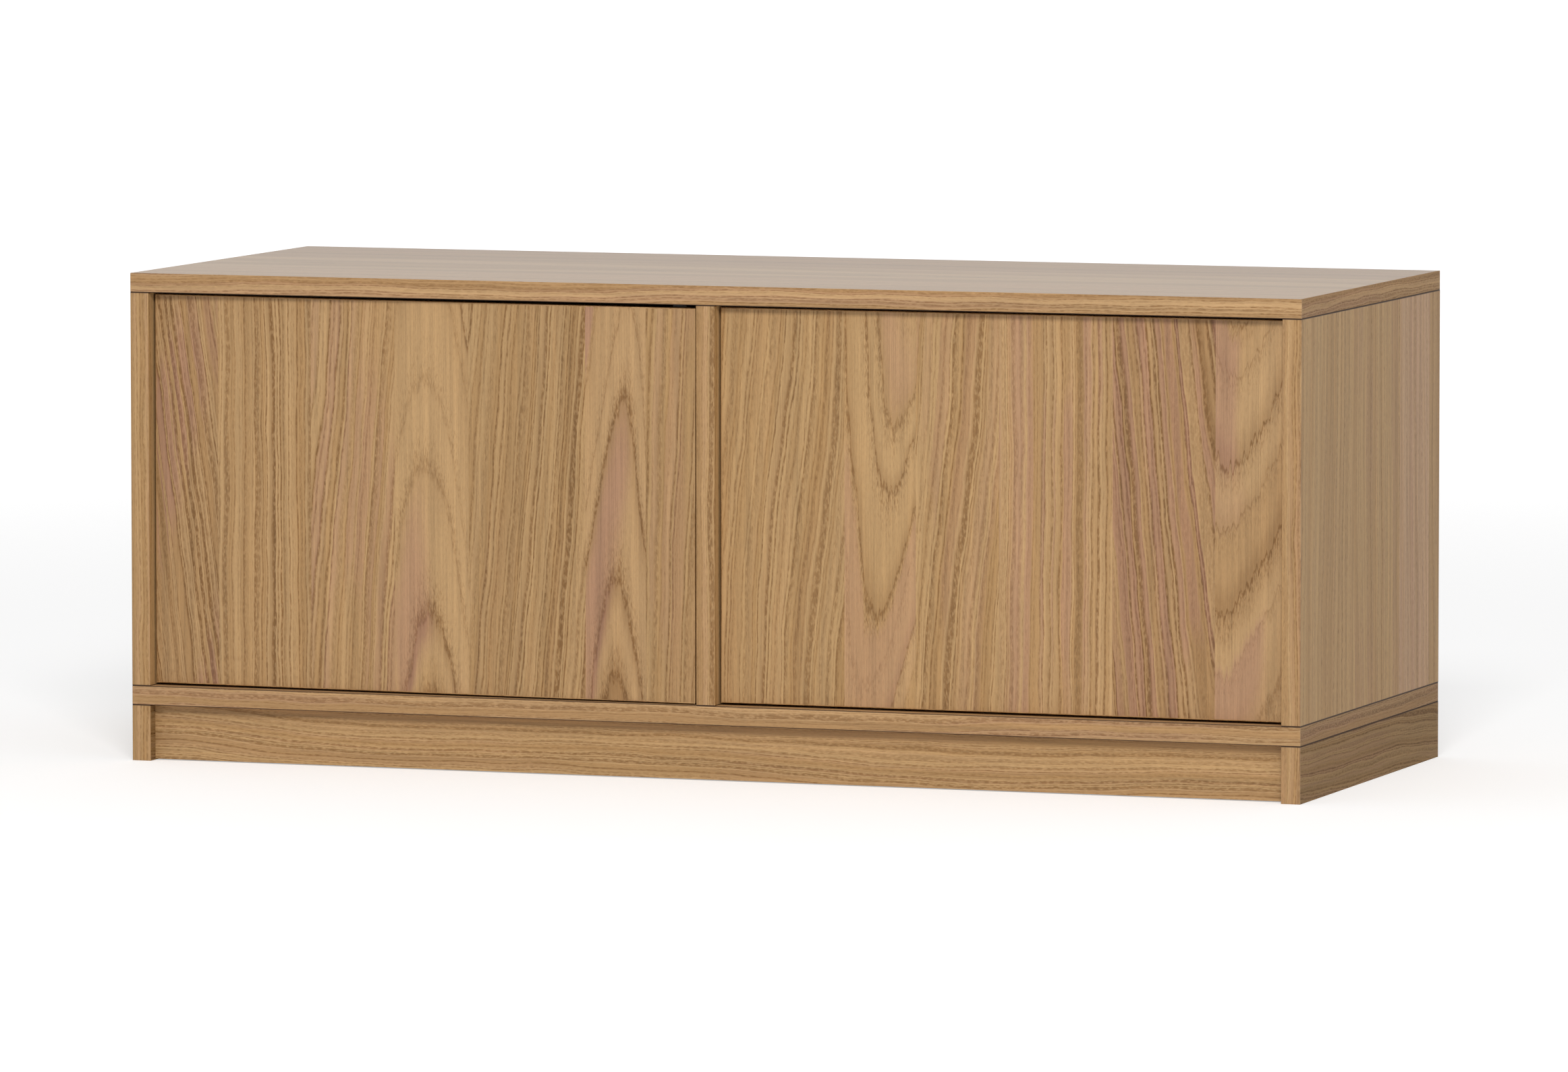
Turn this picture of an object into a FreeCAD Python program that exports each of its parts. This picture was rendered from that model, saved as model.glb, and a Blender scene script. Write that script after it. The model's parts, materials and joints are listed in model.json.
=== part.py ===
import FreeCAD, Part
import os
import re
import Sketcher

# Storage cabinet: a low oak-veneered carcass on a recessed plinth, with two flat inset doors.
# Frame: +X to the right, +Y to the back, +Z up; the origin is on the floor, under the middle.
# The left half is drawn first, and the right half is its mirror image.

Vector = FreeCAD.Vector
Rotation = FreeCAD.Rotation

document = FreeCAD.newDocument("storage_cabinet")

# Driving sizes in millimetres and degrees
sizes = {
    # Carcass
    "cabinet_width": 1200,
    "cabinet_depth": 460,
    "cabinet_height": 480,
    "carcass_board": 19,
    "band_thickness": 1,
    "edge_radius": 0.6,
    "back_panel_thickness": 6,
    "back_panel_lap": 9,
    "back_panel_play": 0.4,
    # Plinth
    "plinth_height": 55,
    "plinth_board": 19,
    "kick_setback": 13,
    "rail_setback": 20,
    "rail_floor_gap": 1,
    "corner_block_width": 28,
    "corner_block_height": 35,
    # Shelves
    "shelf_board": 19,
    "shelf_setback": 20,
    "shelf_side_play": 1,
    "shelf_rear_play": 0.5,
    "shelf_pin_radius": 2.45,
    "shelf_pin_shaft": 8,
    "shelf_pin_reach": 7,
    "shelf_pin_width": 8,
    "shelf_pin_paddle": 2.5,
    "pin_hole_pitch": 32,
    "front_pin_line": 37,
    "rear_pin_line": 60,
    # Doors
    "door_board": 19,
    "door_recess": 12,
    "door_side_gap": 2,
    "door_end_gap": 2.3,
    "left_door_ajar": 0.9,
    "left_door_sag": 0.12,
    # Hinges
    "hinge_end_distance": 80,
    "pivot_inset": 21,
    "pivot_depth": 8.2,
    "hinge_pin_radius": 1.25,
    "hinge_pin_fit": 0.05,
    "hinge_pin_overhang": 1,
    "eye_radius": 2.75,
    "eye_floor_gap": 0.45,
    "cup_radius": 17.5,
    "cup_edge_wood": 5,
    "cup_wall": 1,
    "cup_fit": 0.1,
    "flange_thickness": 1.2,
    "flange_length": 60,
    "flange_width": 15,
    "flange_offset": 6,
    "cup_screw_spacing": 48,
    "cup_screw_length": 12,
    "lug_thickness": 3,
    "lug_width": 7,
    "lug_play": 0.3,
    "arm_width": 10,
    "arm_strip": 2.4,
    "arm_clearance": 0.9,
    "arm_height": 8,
    "arm_tail": 18,
    "spoke_angle": 39.5,
    "bend_end_angle": 129,
    "mount_height": 6,
    "mount_base": 2.2,
    "mount_wing_length": 48,
    "mount_wing_width": 16,
    "mount_ridge_width": 13,
    "mount_line": 37,
    "mount_screw_spacing": 32,
    "mount_screw_radius": 2.5,
    "mount_screw_head": 4,
    "mount_screw_head_height": 1.6,
    "mount_screw_length": 13,
    "arm_screw_radius": 2,
    "arm_screw_head": 3.2,
    "arm_screw_head_height": 1.5,
    "arm_screw_offset": 13,
    "arm_screw_grip": 5,
    # Push latches
    "latch_offset": 30,
    "latch_drop": 10,
    "latch_width": 14,
    "latch_height": 16,
    "latch_length": 76,
    "latch_flange_width": 34,
    "latch_flange_thickness": 2.5,
    "latch_flange_length": 16,
    "latch_flange_offset": 28,
    "plunger_radius": 4.5,
    "plunger_fit": 0.1,
    "plunger_length": 60,
    "plunger_reach": 4,
    "plunger_chamfer": 1,
    "latch_spring_space": 6,
    "strike_radius": 6,
    "strike_thickness": 1.5,
    "strike_gap": 0.15,
    # Fasteners
    "fastener_fit": 0.05,
    "screw_radius": 1.5,
    "screw_head": 3,
    "screw_head_height": 1.8,
    "back_screw_length": 22,
    "back_screw_inset": 58,
    "block_screw_length": 45,
    "latch_screw_length": 12,
    "dowel_radius": 4,
    "dowel_length": 30,
    "dowel_bite": 10,
    "hole_end_gap": 0.5,
    "plinth_dowel_spacing": 22,
    "cam_radius": 7.5,
    "cam_below_bolt": 3,
    "cam_distance": 34,
    "cam_slot_width": 1.6,
    "cam_slot_depth": 1.6,
    "cam_slot_length": 9,
    "bolt_radius": 3,
    "bolt_overrun": 4,
    "bolt_thread_radius": 2.5,
    "bolt_thread_length": 10,
    "bolt_play": 0.3,
    "joint_inset": 50,
    "joint_spacing": 32,
}

dim = document.addObject("Spreadsheet::Sheet", "dim")
for row, (alias, value) in enumerate(sizes.items(), start=1):
    dim.set(f"A{row}", alias)
    dim.set(f"B{row}", str(value))
    dim.setAlias(f"B{row}", alias)
document.recompute()

# Planes and lines that the pieces share, as formulas on the driving sizes
FRONT = "(-cabinet_depth / 2)"
REAR = "(cabinet_depth / 2)"
OUTER = "(cabinet_width / 2)"
INNER = f"({OUTER} - carcass_board)"
BASE_TOP = "(plinth_height + carcass_board)"
CEILING = "(cabinet_height - carcass_board)"
MID_HEIGHT = f"(({BASE_TOP} + {CEILING}) / 2)"
HALF_BOARD = "(carcass_board / 2)"
BACK_FACE = f"({REAR} - back_panel_thickness)"
DOOR_FRONT = f"({FRONT} + door_recess)"
DOOR_BACK = f"({DOOR_FRONT} + door_board)"
DOOR_LOW = f"({BASE_TOP} + door_end_gap)"
DOOR_HIGH = f"({CEILING} - door_end_gap)"
DOOR_HINGE_EDGE = f"({INNER} - door_side_gap)"
DOOR_FREE_EDGE = f"({HALF_BOARD} + door_side_gap)"
PIVOT_X = f"({DOOR_HINGE_EDGE} - pivot_inset)"
PIVOT_Y = f"({DOOR_FRONT} + pivot_depth)"
CUP_X = f"({DOOR_HINGE_EDGE} - cup_edge_wood - cup_radius)"
CUP_FLOOR_Y = f"({PIVOT_Y} - eye_radius - eye_floor_gap)"
LUG_GAP = "(arm_width + 2 * lug_play)"
MOUNT_LINE_Y = f"({DOOR_BACK} + mount_line)"
UPPER_HINGE_Z = f"({DOOR_HIGH} - hinge_end_distance)"
LOWER_HINGE_Z = f"({DOOR_LOW} + hinge_end_distance)"
LATCH_X = f"({HALF_BOARD} + latch_offset)"
LATCH_Z = f"({CEILING} - latch_drop)"
STRIKE_FACE_Y = f"({DOOR_BACK} + strike_thickness)"
TIP_Y = f"({STRIKE_FACE_Y} + strike_gap)"
LATCH_FRONT_Y = f"({TIP_Y} + plunger_reach)"
SHELF_LOW = f"({MID_HEIGHT} + shelf_pin_paddle)"
SHELF_FRONT_Y = f"({DOOR_BACK} + shelf_setback)"
FRONT_PIN_Y = f"({DOOR_BACK} + front_pin_line)"
REAR_PIN_Y = f"({BACK_FACE} - rear_pin_line)"
KICK_FRONT_Y = f"({FRONT} + kick_setback)"
KICK_BACK_Y = f"({KICK_FRONT_Y} + plinth_board)"
RAIL_BACK_Y = f"({REAR} - rail_setback)"
RAIL_FRONT_Y = f"({RAIL_BACK_Y} - plinth_board)"
PLINTH_INNER = f"({OUTER} - plinth_board)"


# Working tools

DIRECTIONS = {
    "+X": Vector(1, 0, 0), "-X": Vector(-1, 0, 0),
    "+Y": Vector(0, 1, 0), "-Y": Vector(0, -1, 0),
    "+Z": Vector(0, 0, 1), "-Z": Vector(0, 0, -1),
}


def formula(text):
    """Point each size name in the text at its cell in the sheet."""
    return re.sub(r"[a-z_]+", lambda word: "dim." + word[0] if word[0] in sizes else word[0], text)


def bind(item, **formulas):
    """Bind properties of an object to formulas."""
    for name, text in formulas.items():
        item.setExpression(name, formula(text))
    return item


def place(item, x, y, z):
    """Bind the position of an object to formulas."""
    for axis, text in zip("xyz", (x, y, z)):
        item.setExpression(f"Placement.Base.{axis}", formula(text))
    return item


def minus(text):
    return f"(-({text}))"


def left(near, far):
    """Span along X on the left half, from two distances to the middle plane."""
    return (minus(far), minus(near))


def box(name, x, y, z):
    """Block between pairs of planes."""
    block = document.addObject("Part::Box", name)
    bind(block, Length=f"{x[1]} - {x[0]}", Width=f"{y[1]} - {y[0]}", Height=f"{z[1]} - {z[0]}")
    return place(block, x[0], y[0], z[0])


def cylinder(name, radius, start, direction, length):
    """Round bar from a start point along one of the six directions."""
    bar = document.addObject("Part::Cylinder", name)
    bar.Placement = FreeCAD.Placement(Vector(), Rotation(Vector(0, 0, 1), DIRECTIONS[direction]))
    bind(bar, Radius=radius, Height=length)
    return place(bar, *start)


def cone(name, first_radius, last_radius, start, direction, length):
    """Cone frustum from a start point along one of the six directions."""
    taper = document.addObject("Part::Cone", name)
    taper.Placement = FreeCAD.Placement(Vector(), Rotation(Vector(0, 0, 1), DIRECTIONS[direction]))
    bind(taper, Radius1=first_radius, Radius2=last_radius, Height=length)
    return place(taper, *start)


def group(name, members):
    """Several separate solids kept as one item."""
    bundle = document.addObject("Part::Compound", name)
    bundle.Links = members
    return bundle


def join(name, members):
    """One solid from overlapping or touching ones."""
    fusion = document.addObject("Part::MultiFuse", name)
    fusion.Shapes = members
    fusion.Refine = True
    return fusion


def cut(name, base, tools):
    """Take each tool in turn out of the base; the last result carries the name."""
    for number, tool in enumerate(tools, start=1):
        last = number == len(tools)
        result = document.addObject("Part::Cut", name if last else f"{name}_stage_{number}")
        result.Base = base
        result.Tool = tool
        base = result
    return base


def mirrored(name, source):
    """Mirror image on the other side of the middle plane."""
    image = document.addObject("Part::Mirroring", name)
    image.Source = source
    image.Normal = Vector(1, 0, 0)
    return image


def both_sides(name, members, centre=()):
    """The members, their mirror images and any that lie on the middle plane."""
    half = group(f"{name}_left_half", members)
    return group(name, [half, mirrored(f"{name}_right_half", half), *centre])


def origin_plane(body, role):
    return next(plane for plane in body.Origin.OriginFeatures if plane.Role == role)


def board(name, x, y, z, rounded=None):
    """Padded rectangle between pairs of planes; rounded picks the edges to ease."""
    body = document.addObject("PartDesign::Body", name)
    outline = body.newObject("Sketcher::SketchObject", f"{name}_outline")
    outline.AttachmentSupport = [(origin_plane(body, "XY_Plane"), "")]
    outline.MapMode = "FlatFace"
    corners = [Vector(0, 0, 0), Vector(40, 0, 0), Vector(40, 20, 0), Vector(0, 20, 0)]
    for start, end in zip(corners, corners[1:] + corners[:1]):
        outline.addGeometry(Part.LineSegment(start, end), False)
    for line in range(4):
        outline.addConstraint(Sketcher.Constraint("Coincident", line, 2, (line + 1) % 4, 1))
    outline.addConstraint(Sketcher.Constraint("Horizontal", 0))
    outline.addConstraint(Sketcher.Constraint("Vertical", 1))
    outline.addConstraint(Sketcher.Constraint("Horizontal", 2))
    outline.addConstraint(Sketcher.Constraint("Vertical", 3))
    outline.addConstraint(Sketcher.Constraint("Coincident", 0, 1, -1, 1))
    length = outline.addConstraint(Sketcher.Constraint("DistanceX", 0, 1, 0, 2, 40))
    width = outline.addConstraint(Sketcher.Constraint("DistanceY", 1, 1, 1, 2, 20))
    outline.setExpression(f"Constraints[{length}]", formula(f"{x[1]} - {x[0]}"))
    outline.setExpression(f"Constraints[{width}]", formula(f"{y[1]} - {y[0]}"))
    pad = body.newObject("PartDesign::Pad", f"{name}_pad")
    pad.Profile = outline
    outline.Visibility = False
    bind(pad, Length=f"{z[1]} - {z[0]}")
    place(body, x[0], y[0], z[0])
    if rounded is None:
        return body
    document.recompute()
    extent = pad.Shape.BoundBox
    far = Vector(extent.XMax, extent.YMax, extent.ZMax)
    edges = []
    for number, edge in enumerate(pad.Shape.Edges, start=1):
        ends = [vertex.Point for vertex in edge.Vertexes]
        if rounded(ends, far):
            edges.append(f"Edge{number}")
    easing = body.newObject("PartDesign::Fillet", f"{name}_eased")
    easing.Base = (pad, edges)
    bind(easing, Radius="min(edge_radius; 0.7 * band_thickness)")
    return body


def level(ends, axis, value):
    """Whether an edge lies in the plane where one coordinate has the value."""
    return all(abs(getattr(end, axis) - value) < 1e-6 for end in ends)


def front_face(ends, far):
    return level(ends, "y", 0)


def front_face_and_ends(ends, far):
    at_end = level(ends, "x", 0) or level(ends, "x", far.x)
    flat = level(ends, "z", 0) or level(ends, "z", far.z)
    return level(ends, "y", 0) or (at_end and flat)


def left_face(ends, far):
    """Edges of the outer face, without the one that meets the front band."""
    return level(ends, "x", 0) and not level(ends, "y", 0)


def whole_left_face(ends, far):
    return level(ends, "x", 0)


def whole_right_face(ends, far):
    return level(ends, "x", far.x)


def lower_face_lines(ends, far):
    return level(ends, "z", 0) and (level(ends, "y", 0) or level(ends, "y", far.y))


def upper_face_lines(ends, far):
    return level(ends, "z", far.z) and (level(ends, "y", 0) or level(ends, "y", far.y))


# Fasteners and the holes for them

def flat_screw(name, point, direction, length, fit=""):
    """Countersunk screw with its head flush at the point; a fit makes its hole."""
    head_radius = f"screw_head{fit}"
    shank_radius = f"screw_radius{fit}"
    head = cone(f"{name}_head", head_radius, shank_radius, point, direction, "screw_head_height")
    shank = cylinder(f"{name}_shank", shank_radius, point, direction, length)
    return join(name, [head, shank])


def headed_screw(name, point, inward, outward, radius, length, head_radius, head_height):
    """Screw with a flat round head that stands on the surface."""
    shank = cylinder(f"{name}_shank", radius, point, inward, length)
    head = cylinder(f"{name}_head", head_radius, point, outward, head_height)
    return join(name, [shank, head])


def shift(point, direction, distance):
    """Point moved against a direction by a distance."""
    sign = "+" if direction[0] == "-" else "-"
    moved = list(point)
    axis = "XYZ".index(direction[1])
    moved[axis] = f"({point[axis]} {sign} ({distance}))"
    return tuple(moved)


def dowel(name, joint, direction):
    """Dowel that bites into one board and runs on into the other; with its hole."""
    start = shift(joint, direction, "dowel_bite")
    peg = cylinder(name, "dowel_radius", start, direction, "dowel_length")
    hole_start = shift(start, direction, "hole_end_gap")
    hole_length = "dowel_length + 2 * hole_end_gap"
    hole = cylinder(f"{name}_hole", "dowel_radius + fastener_fit", hole_start, direction, hole_length)
    return peg, hole


FRONT_CAM_Y = f"({FRONT} + joint_inset)"
REAR_CAM_Y = f"({REAR} - joint_inset)"
FRONT_DOWEL_Y = f"({FRONT_CAM_Y} + joint_spacing)"
REAR_DOWEL_Y = f"({REAR_CAM_Y} - joint_spacing)"
LEFT_JOINT_X = minus(f"{OUTER} - {HALF_BOARD}")
RAIL_MID_Z = "(plinth_height / 2)"

# Carcass dowels: two at each end of the sides and of the divider
left_dowels, left_dowel_holes, centre_dowels, centre_dowel_holes = [], [], [], []
joint_lines = ((LEFT_JOINT_X, left_dowels, left_dowel_holes), ("0", centre_dowels, centre_dowel_holes))
for x, pegs, holes in joint_lines:
    for y in (FRONT_DOWEL_Y, REAR_DOWEL_Y):
        for seam, direction in ((CEILING, "-Z"), (BASE_TOP, "+Z")):
            peg, hole = dowel("carcass_dowel", (x, y, seam), direction)
            pegs.append(peg)
            holes.append(hole)

# Plinth dowels: two at each end of the kick board and the rear rail, one at each end of the brace
RAIL_LINES = (f"({KICK_BACK_Y} - plinth_board / 2)", f"({RAIL_BACK_Y} - plinth_board / 2)")
for y in RAIL_LINES:
    for side in ("-", "+"):
        z = f"({RAIL_MID_Z} {side} plinth_dowel_spacing / 2)"
        peg, hole = dowel("plinth_dowel", (minus(PLINTH_INNER), y, z), "+X")
        left_dowels.append(peg)
        left_dowel_holes.append(hole)
for y, direction in ((KICK_BACK_Y, "+Y"), (RAIL_FRONT_Y, "-Y")):
    peg, hole = dowel("brace_dowel", ("0", y, RAIL_MID_Z), direction)
    centre_dowels.append(peg)
    centre_dowel_holes.append(hole)
wood_dowels = both_sides("wood_dowels", left_dowels, centre_dowels)
dowel_holes = both_sides("dowel_holes", left_dowel_holes, centre_dowel_holes)

# Cam locks in the sides and the divider, and their bolts in the top and bottom boards
left_cams, left_cam_holes, left_bolts, left_bolt_holes = [], [], [], []
centre_cams, centre_cam_holes, centre_bolts, centre_bolt_holes = [], [], [], []


def cam_joint(face_x, direction, y, seam, away, into):
    """Cam lock, its bore, its bolt and the bolt's bores, for one joint."""
    bolt_x = shift((face_x, y, seam), direction, minus(HALF_BOARD))[0]
    centre_z = shift((face_x, y, seam), into, minus("cam_distance"))[2]
    cam_length = f"{HALF_BOARD} + cam_below_bolt"
    drum = cylinder("cam_drum", "cam_radius", (face_x, y, centre_z), direction, cam_length)
    bolt_start = (bolt_x, y, seam)
    bolt_reach = "cam_distance + bolt_overrun"
    loose_radius = "bolt_radius + bolt_play"
    socket = cylinder("cam_socket", loose_radius, bolt_start, into, f"{bolt_reach} + bolt_play")
    slot_end = shift((face_x, y, centre_z), direction, minus("cam_slot_depth"))[0]
    slot = box(
        "cam_slot_cutter",
        (face_x, slot_end) if direction == "+X" else (slot_end, face_x),
        (f"({y} - cam_slot_width / 2)", f"({y} + cam_slot_width / 2)"),
        (f"({centre_z} - cam_slot_length / 2)", f"({centre_z} + cam_slot_length / 2)"),
    )
    cam = cut("cam_lock", drum, [socket, slot])
    bore_length = f"{cam_length} + fastener_fit"
    bore = cylinder("cam_bore", "cam_radius + fastener_fit", (face_x, y, centre_z), direction, bore_length)
    shank = cylinder("bolt_shank", "bolt_radius", bolt_start, into, bolt_reach)
    thread = cylinder("bolt_thread", "bolt_thread_radius", bolt_start, away, "bolt_thread_length")
    bolt = join("cam_bolt", [shank, thread])
    shank_bore = cylinder("shank_bore", loose_radius, bolt_start, into, "cam_distance")
    thread_radius = "bolt_thread_radius + fastener_fit"
    thread_depth = "bolt_thread_length + hole_end_gap"
    thread_bore = cylinder("thread_bore", thread_radius, bolt_start, away, thread_depth)
    return cam, bore, bolt, [shank_bore, thread_bore]


for y in (FRONT_CAM_Y, REAR_CAM_Y):
    for seam, away, into in ((CEILING, "+Z", "-Z"), (BASE_TOP, "-Z", "+Z")):
        cam, bore, bolt, bolt_bores = cam_joint(minus(INNER), "-X", y, seam, away, into)
        left_cams.append(cam)
        left_cam_holes.append(bore)
        left_bolts.append(bolt)
        left_bolt_holes += bolt_bores
        cam, bore, bolt, bolt_bores = cam_joint(minus(HALF_BOARD), "+X", y, seam, away, into)
        centre_cams.append(cam)
        centre_cam_holes.append(bore)
        centre_bolts.append(bolt)
        centre_bolt_holes += bolt_bores
cam_locks = both_sides("cam_locks", left_cams, centre_cams)
cam_holes = both_sides("cam_holes", left_cam_holes, centre_cam_holes)
cam_bolts = both_sides("cam_bolts", left_bolts, centre_bolts)
bolt_holes = both_sides("bolt_holes", left_bolt_holes, centre_bolt_holes)

# Back panel screws: four along the top, four along the bottom, two in each side and the divider
LAP_MID = "(back_panel_lap / 2)"
SCREW_REACH = f"({INNER} - back_screw_inset)"
back_screw_points = []
for z in (f"({CEILING} + {LAP_MID})", f"({BASE_TOP} - {LAP_MID})"):
    for x in (f"{SCREW_REACH} / 3", SCREW_REACH):
        back_screw_points.append((minus(x), REAR, z))
SCREW_RISE = f"(({CEILING} - {BASE_TOP}) / 4)"
side_screw_levels = (f"({MID_HEIGHT} - {SCREW_RISE})", f"({MID_HEIGHT} + {SCREW_RISE})")
for z in side_screw_levels:
    back_screw_points.append((minus(f"{INNER} + {LAP_MID}"), REAR, z))
centre_screw_points = [("0", REAR, z) for z in side_screw_levels]


def back_screws(points, fit):
    return [flat_screw("back_screw", point, "-Y", "back_screw_length", fit) for point in points]


back_panel_screws, back_screw_holes = [
    both_sides(name, back_screws(back_screw_points, fit), back_screws(centre_screw_points, fit))
    for name, fit in (("back_panel_screws", ""), ("back_screw_holes", " + fastener_fit"))
]

# Carcass boards
FULL_WIDTH = (minus(OUTER), OUTER)
CORE_WIDTH = (minus(f"{OUTER} - band_thickness"), f"({OUTER} - band_thickness)")
BAND_DEPTH = (FRONT, f"({FRONT} + band_thickness)")
CORE_DEPTH = (f"({FRONT} + band_thickness)", REAR)
TOP_LEVEL = (CEILING, "cabinet_height")
BASE_LEVEL = ("plinth_height", BASE_TOP)
SIDE_LEVEL = (BASE_TOP, CEILING)
LEFT_SIDE_X = left(INNER, OUTER)
DIVIDER_X = (minus(HALF_BOARD), HALF_BOARD)
LEFT_BAND_X = left(f"{OUTER} - band_thickness", OUTER)

LAP_REACH = f"({INNER} + back_panel_lap)"
back_recess = box(
    "back_recess",
    (minus(LAP_REACH), LAP_REACH),
    (BACK_FACE, REAR),
    (f"({BASE_TOP} - back_panel_lap)", f"({CEILING} + back_panel_lap)"),
)

top_front_band = board("top_front_band", FULL_WIDTH, BAND_DEPTH, TOP_LEVEL, front_face_and_ends)
top_left_band = board("top_left_band", LEFT_BAND_X, CORE_DEPTH, TOP_LEVEL, left_face)
top_right_band = mirrored("top_right_band", top_left_band)
bottom_front_band = board("bottom_front_band", FULL_WIDTH, BAND_DEPTH, BASE_LEVEL, front_face_and_ends)
bottom_left_band = board("bottom_left_band", LEFT_BAND_X, CORE_DEPTH, BASE_LEVEL, left_face)
bottom_right_band = mirrored("bottom_right_band", bottom_left_band)
left_side_band = board("left_side_band", LEFT_SIDE_X, BAND_DEPTH, SIDE_LEVEL, front_face)
right_side_band = mirrored("right_side_band", left_side_band)
divider_band = board("divider_band", DIVIDER_X, BAND_DEPTH, SIDE_LEVEL, front_face)

# Shelf pins, one in each corner of a shelf, and the rows of holes that they can move to
PIN_HOLE_STEPS = (-2, -1, 0, 1, 2)
left_pins, left_pin_holes = [], []
for face_x, into_board, into_room in ((minus(INNER), "-X", "+X"), (minus(HALF_BOARD), "+X", "-X")):
    for y in (FRONT_PIN_Y, REAR_PIN_Y):
        start = (face_x, y, MID_HEIGHT)
        shaft = cylinder("shelf_pin_shaft", "shelf_pin_radius", start, into_board, "shelf_pin_shaft")
        reach_x = shift(start, into_room, minus("shelf_pin_reach"))[0]
        span = (face_x, reach_x) if into_room == "+X" else (reach_x, face_x)
        paddle = box(
            "shelf_pin_paddle",
            span,
            (f"({y} - shelf_pin_width / 2)", f"({y} + shelf_pin_width / 2)"),
            (f"({MID_HEIGHT} - shelf_pin_paddle)", SHELF_LOW),
        )
        left_pins.append(join("shelf_pin", [shaft, paddle]))
        for step in PIN_HOLE_STEPS:
            hole_start = (face_x, y, f"({MID_HEIGHT} + ({step}) * pin_hole_pitch)")
            radius = "shelf_pin_radius + fastener_fit"
            depth = "shelf_pin_shaft + hole_end_gap"
            left_pin_holes.append(cylinder("shelf_pin_hole", radius, hole_start, into_board, depth))
shelf_pins = both_sides("shelf_pins", left_pins)
pin_holes = both_sides("pin_holes", left_pin_holes)

# Hinge mounting plates on the left side, with the screws that hold them and the arms
HINGE_LEVELS = {"upper": UPPER_HINGE_Z, "lower": LOWER_HINGE_Z}
FACE_X = minus(INNER)
ARM_BASE_X = f"({FACE_X} + mount_height)"
ARM_TOP_X = f"({ARM_BASE_X} + arm_height)"
ARM_SCREW_Y = (f"({MOUNT_LINE_Y} - arm_screw_offset)", f"({MOUNT_LINE_Y} + arm_screw_offset)")

mount_screws, mount_screw_holes, arm_screws, mount_plates = [], [], [], {}
for level_name, z in HINGE_LEVELS.items():
    wings = box(
        "mount_wings",
        (FACE_X, f"({FACE_X} + mount_base)"),
        (f"({MOUNT_LINE_Y} - mount_wing_width / 2)", f"({MOUNT_LINE_Y} + mount_wing_width / 2)"),
        (f"({z} - mount_wing_length / 2)", f"({z} + mount_wing_length / 2)"),
    )
    ridge = box(
        "mount_ridge",
        (FACE_X, ARM_BASE_X),
        (f"({MOUNT_LINE_Y} - arm_tail)", f"({MOUNT_LINE_Y} + arm_tail)"),
        (f"({z} - mount_ridge_width / 2)", f"({z} + mount_ridge_width / 2)"),
    )
    holes = []
    for side in ("-", "+"):
        screw_z = f"({z} {side} mount_screw_spacing / 2)"
        point = (f"({FACE_X} + mount_base)", MOUNT_LINE_Y, screw_z)
        mount_screws.append(headed_screw(
            "mount_screw", point, "-X", "+X", "mount_screw_radius", "mount_base + mount_screw_length",
            "mount_screw_head", "mount_screw_head_height",
        ))
        hole = cylinder(
            "mount_screw_hole", "mount_screw_radius + fastener_fit", point, "-X",
            "mount_base + mount_screw_length + hole_end_gap",
        )
        mount_screw_holes.append(hole)
        holes.append(hole)
    for y in ARM_SCREW_Y:
        arm_screws.append(headed_screw(
            "arm_screw", (ARM_TOP_X, y, z), "-X", "+X", "arm_screw_radius", "arm_height + arm_screw_grip",
            "arm_screw_head", "arm_screw_head_height",
        ))
        hole_radius = "arm_screw_radius + fastener_fit"
        holes.append(cylinder("arm_screw_hole", hole_radius, (ARM_BASE_X, y, z), "-X", "arm_screw_grip"))
    blank = join("mount_blank", [wings, ridge])
    mount_plates[level_name] = cut(f"left_{level_name}_hinge_plate", blank, holes)
hinge_plate_screws = both_sides("hinge_plate_screws", mount_screws)
hinge_arm_screws = both_sides("hinge_arm_screws", arm_screws)
hinge_plate_holes = both_sides("hinge_plate_holes", mount_screw_holes)

# Push latches under the top board, beside the divider
latch_axis = (minus(LATCH_X), LATCH_FRONT_Y, LATCH_Z)
LATCH_SPAN = (f"({minus(LATCH_X)} - latch_width / 2)", f"({minus(LATCH_X)} + latch_width / 2)")
latch_case = box(
    "latch_case",
    LATCH_SPAN,
    (LATCH_FRONT_Y, f"({LATCH_FRONT_Y} + latch_length)"),
    (f"({CEILING} - latch_height)", CEILING),
)
FLANGE_Y = f"({LATCH_FRONT_Y} + latch_flange_offset)"
latch_flange = box(
    "latch_flange",
    (f"({minus(LATCH_X)} - latch_flange_width / 2)", f"({minus(LATCH_X)} + latch_flange_width / 2)"),
    (FLANGE_Y, f"({FLANGE_Y} + latch_flange_length)"),
    (f"({CEILING} - latch_flange_thickness)", CEILING),
)
latch_bore = cylinder(
    "latch_bore", "plunger_radius + plunger_fit", latch_axis, "+Y",
    "plunger_length - plunger_reach + latch_spring_space",
)
latch_screw_list, latch_screw_hole_list = [], []
for side in ("-", "+"):
    screw_x = f"({minus(LATCH_X)} {side} (latch_flange_width + latch_width) / 4)"
    point = (screw_x, f"({FLANGE_Y} + latch_flange_length / 2)", f"({CEILING} - latch_flange_thickness)")
    latch_screw_list.append(flat_screw("latch_screw", point, "+Z", "latch_screw_length"))
    hole = flat_screw("latch_screw_hole", point, "+Z", "latch_screw_length", " + fastener_fit")
    latch_screw_hole_list.append(hole)
latch_screws = both_sides("latch_screws", latch_screw_list)
latch_screw_holes = both_sides("latch_screw_holes", latch_screw_hole_list)
latch_blank = join("latch_blank", [latch_case, latch_flange])
left_latch_housing = cut("left_latch_housing", latch_blank, [latch_bore, latch_screw_holes])
right_latch_housing = mirrored("right_latch_housing", left_latch_housing)

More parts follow.
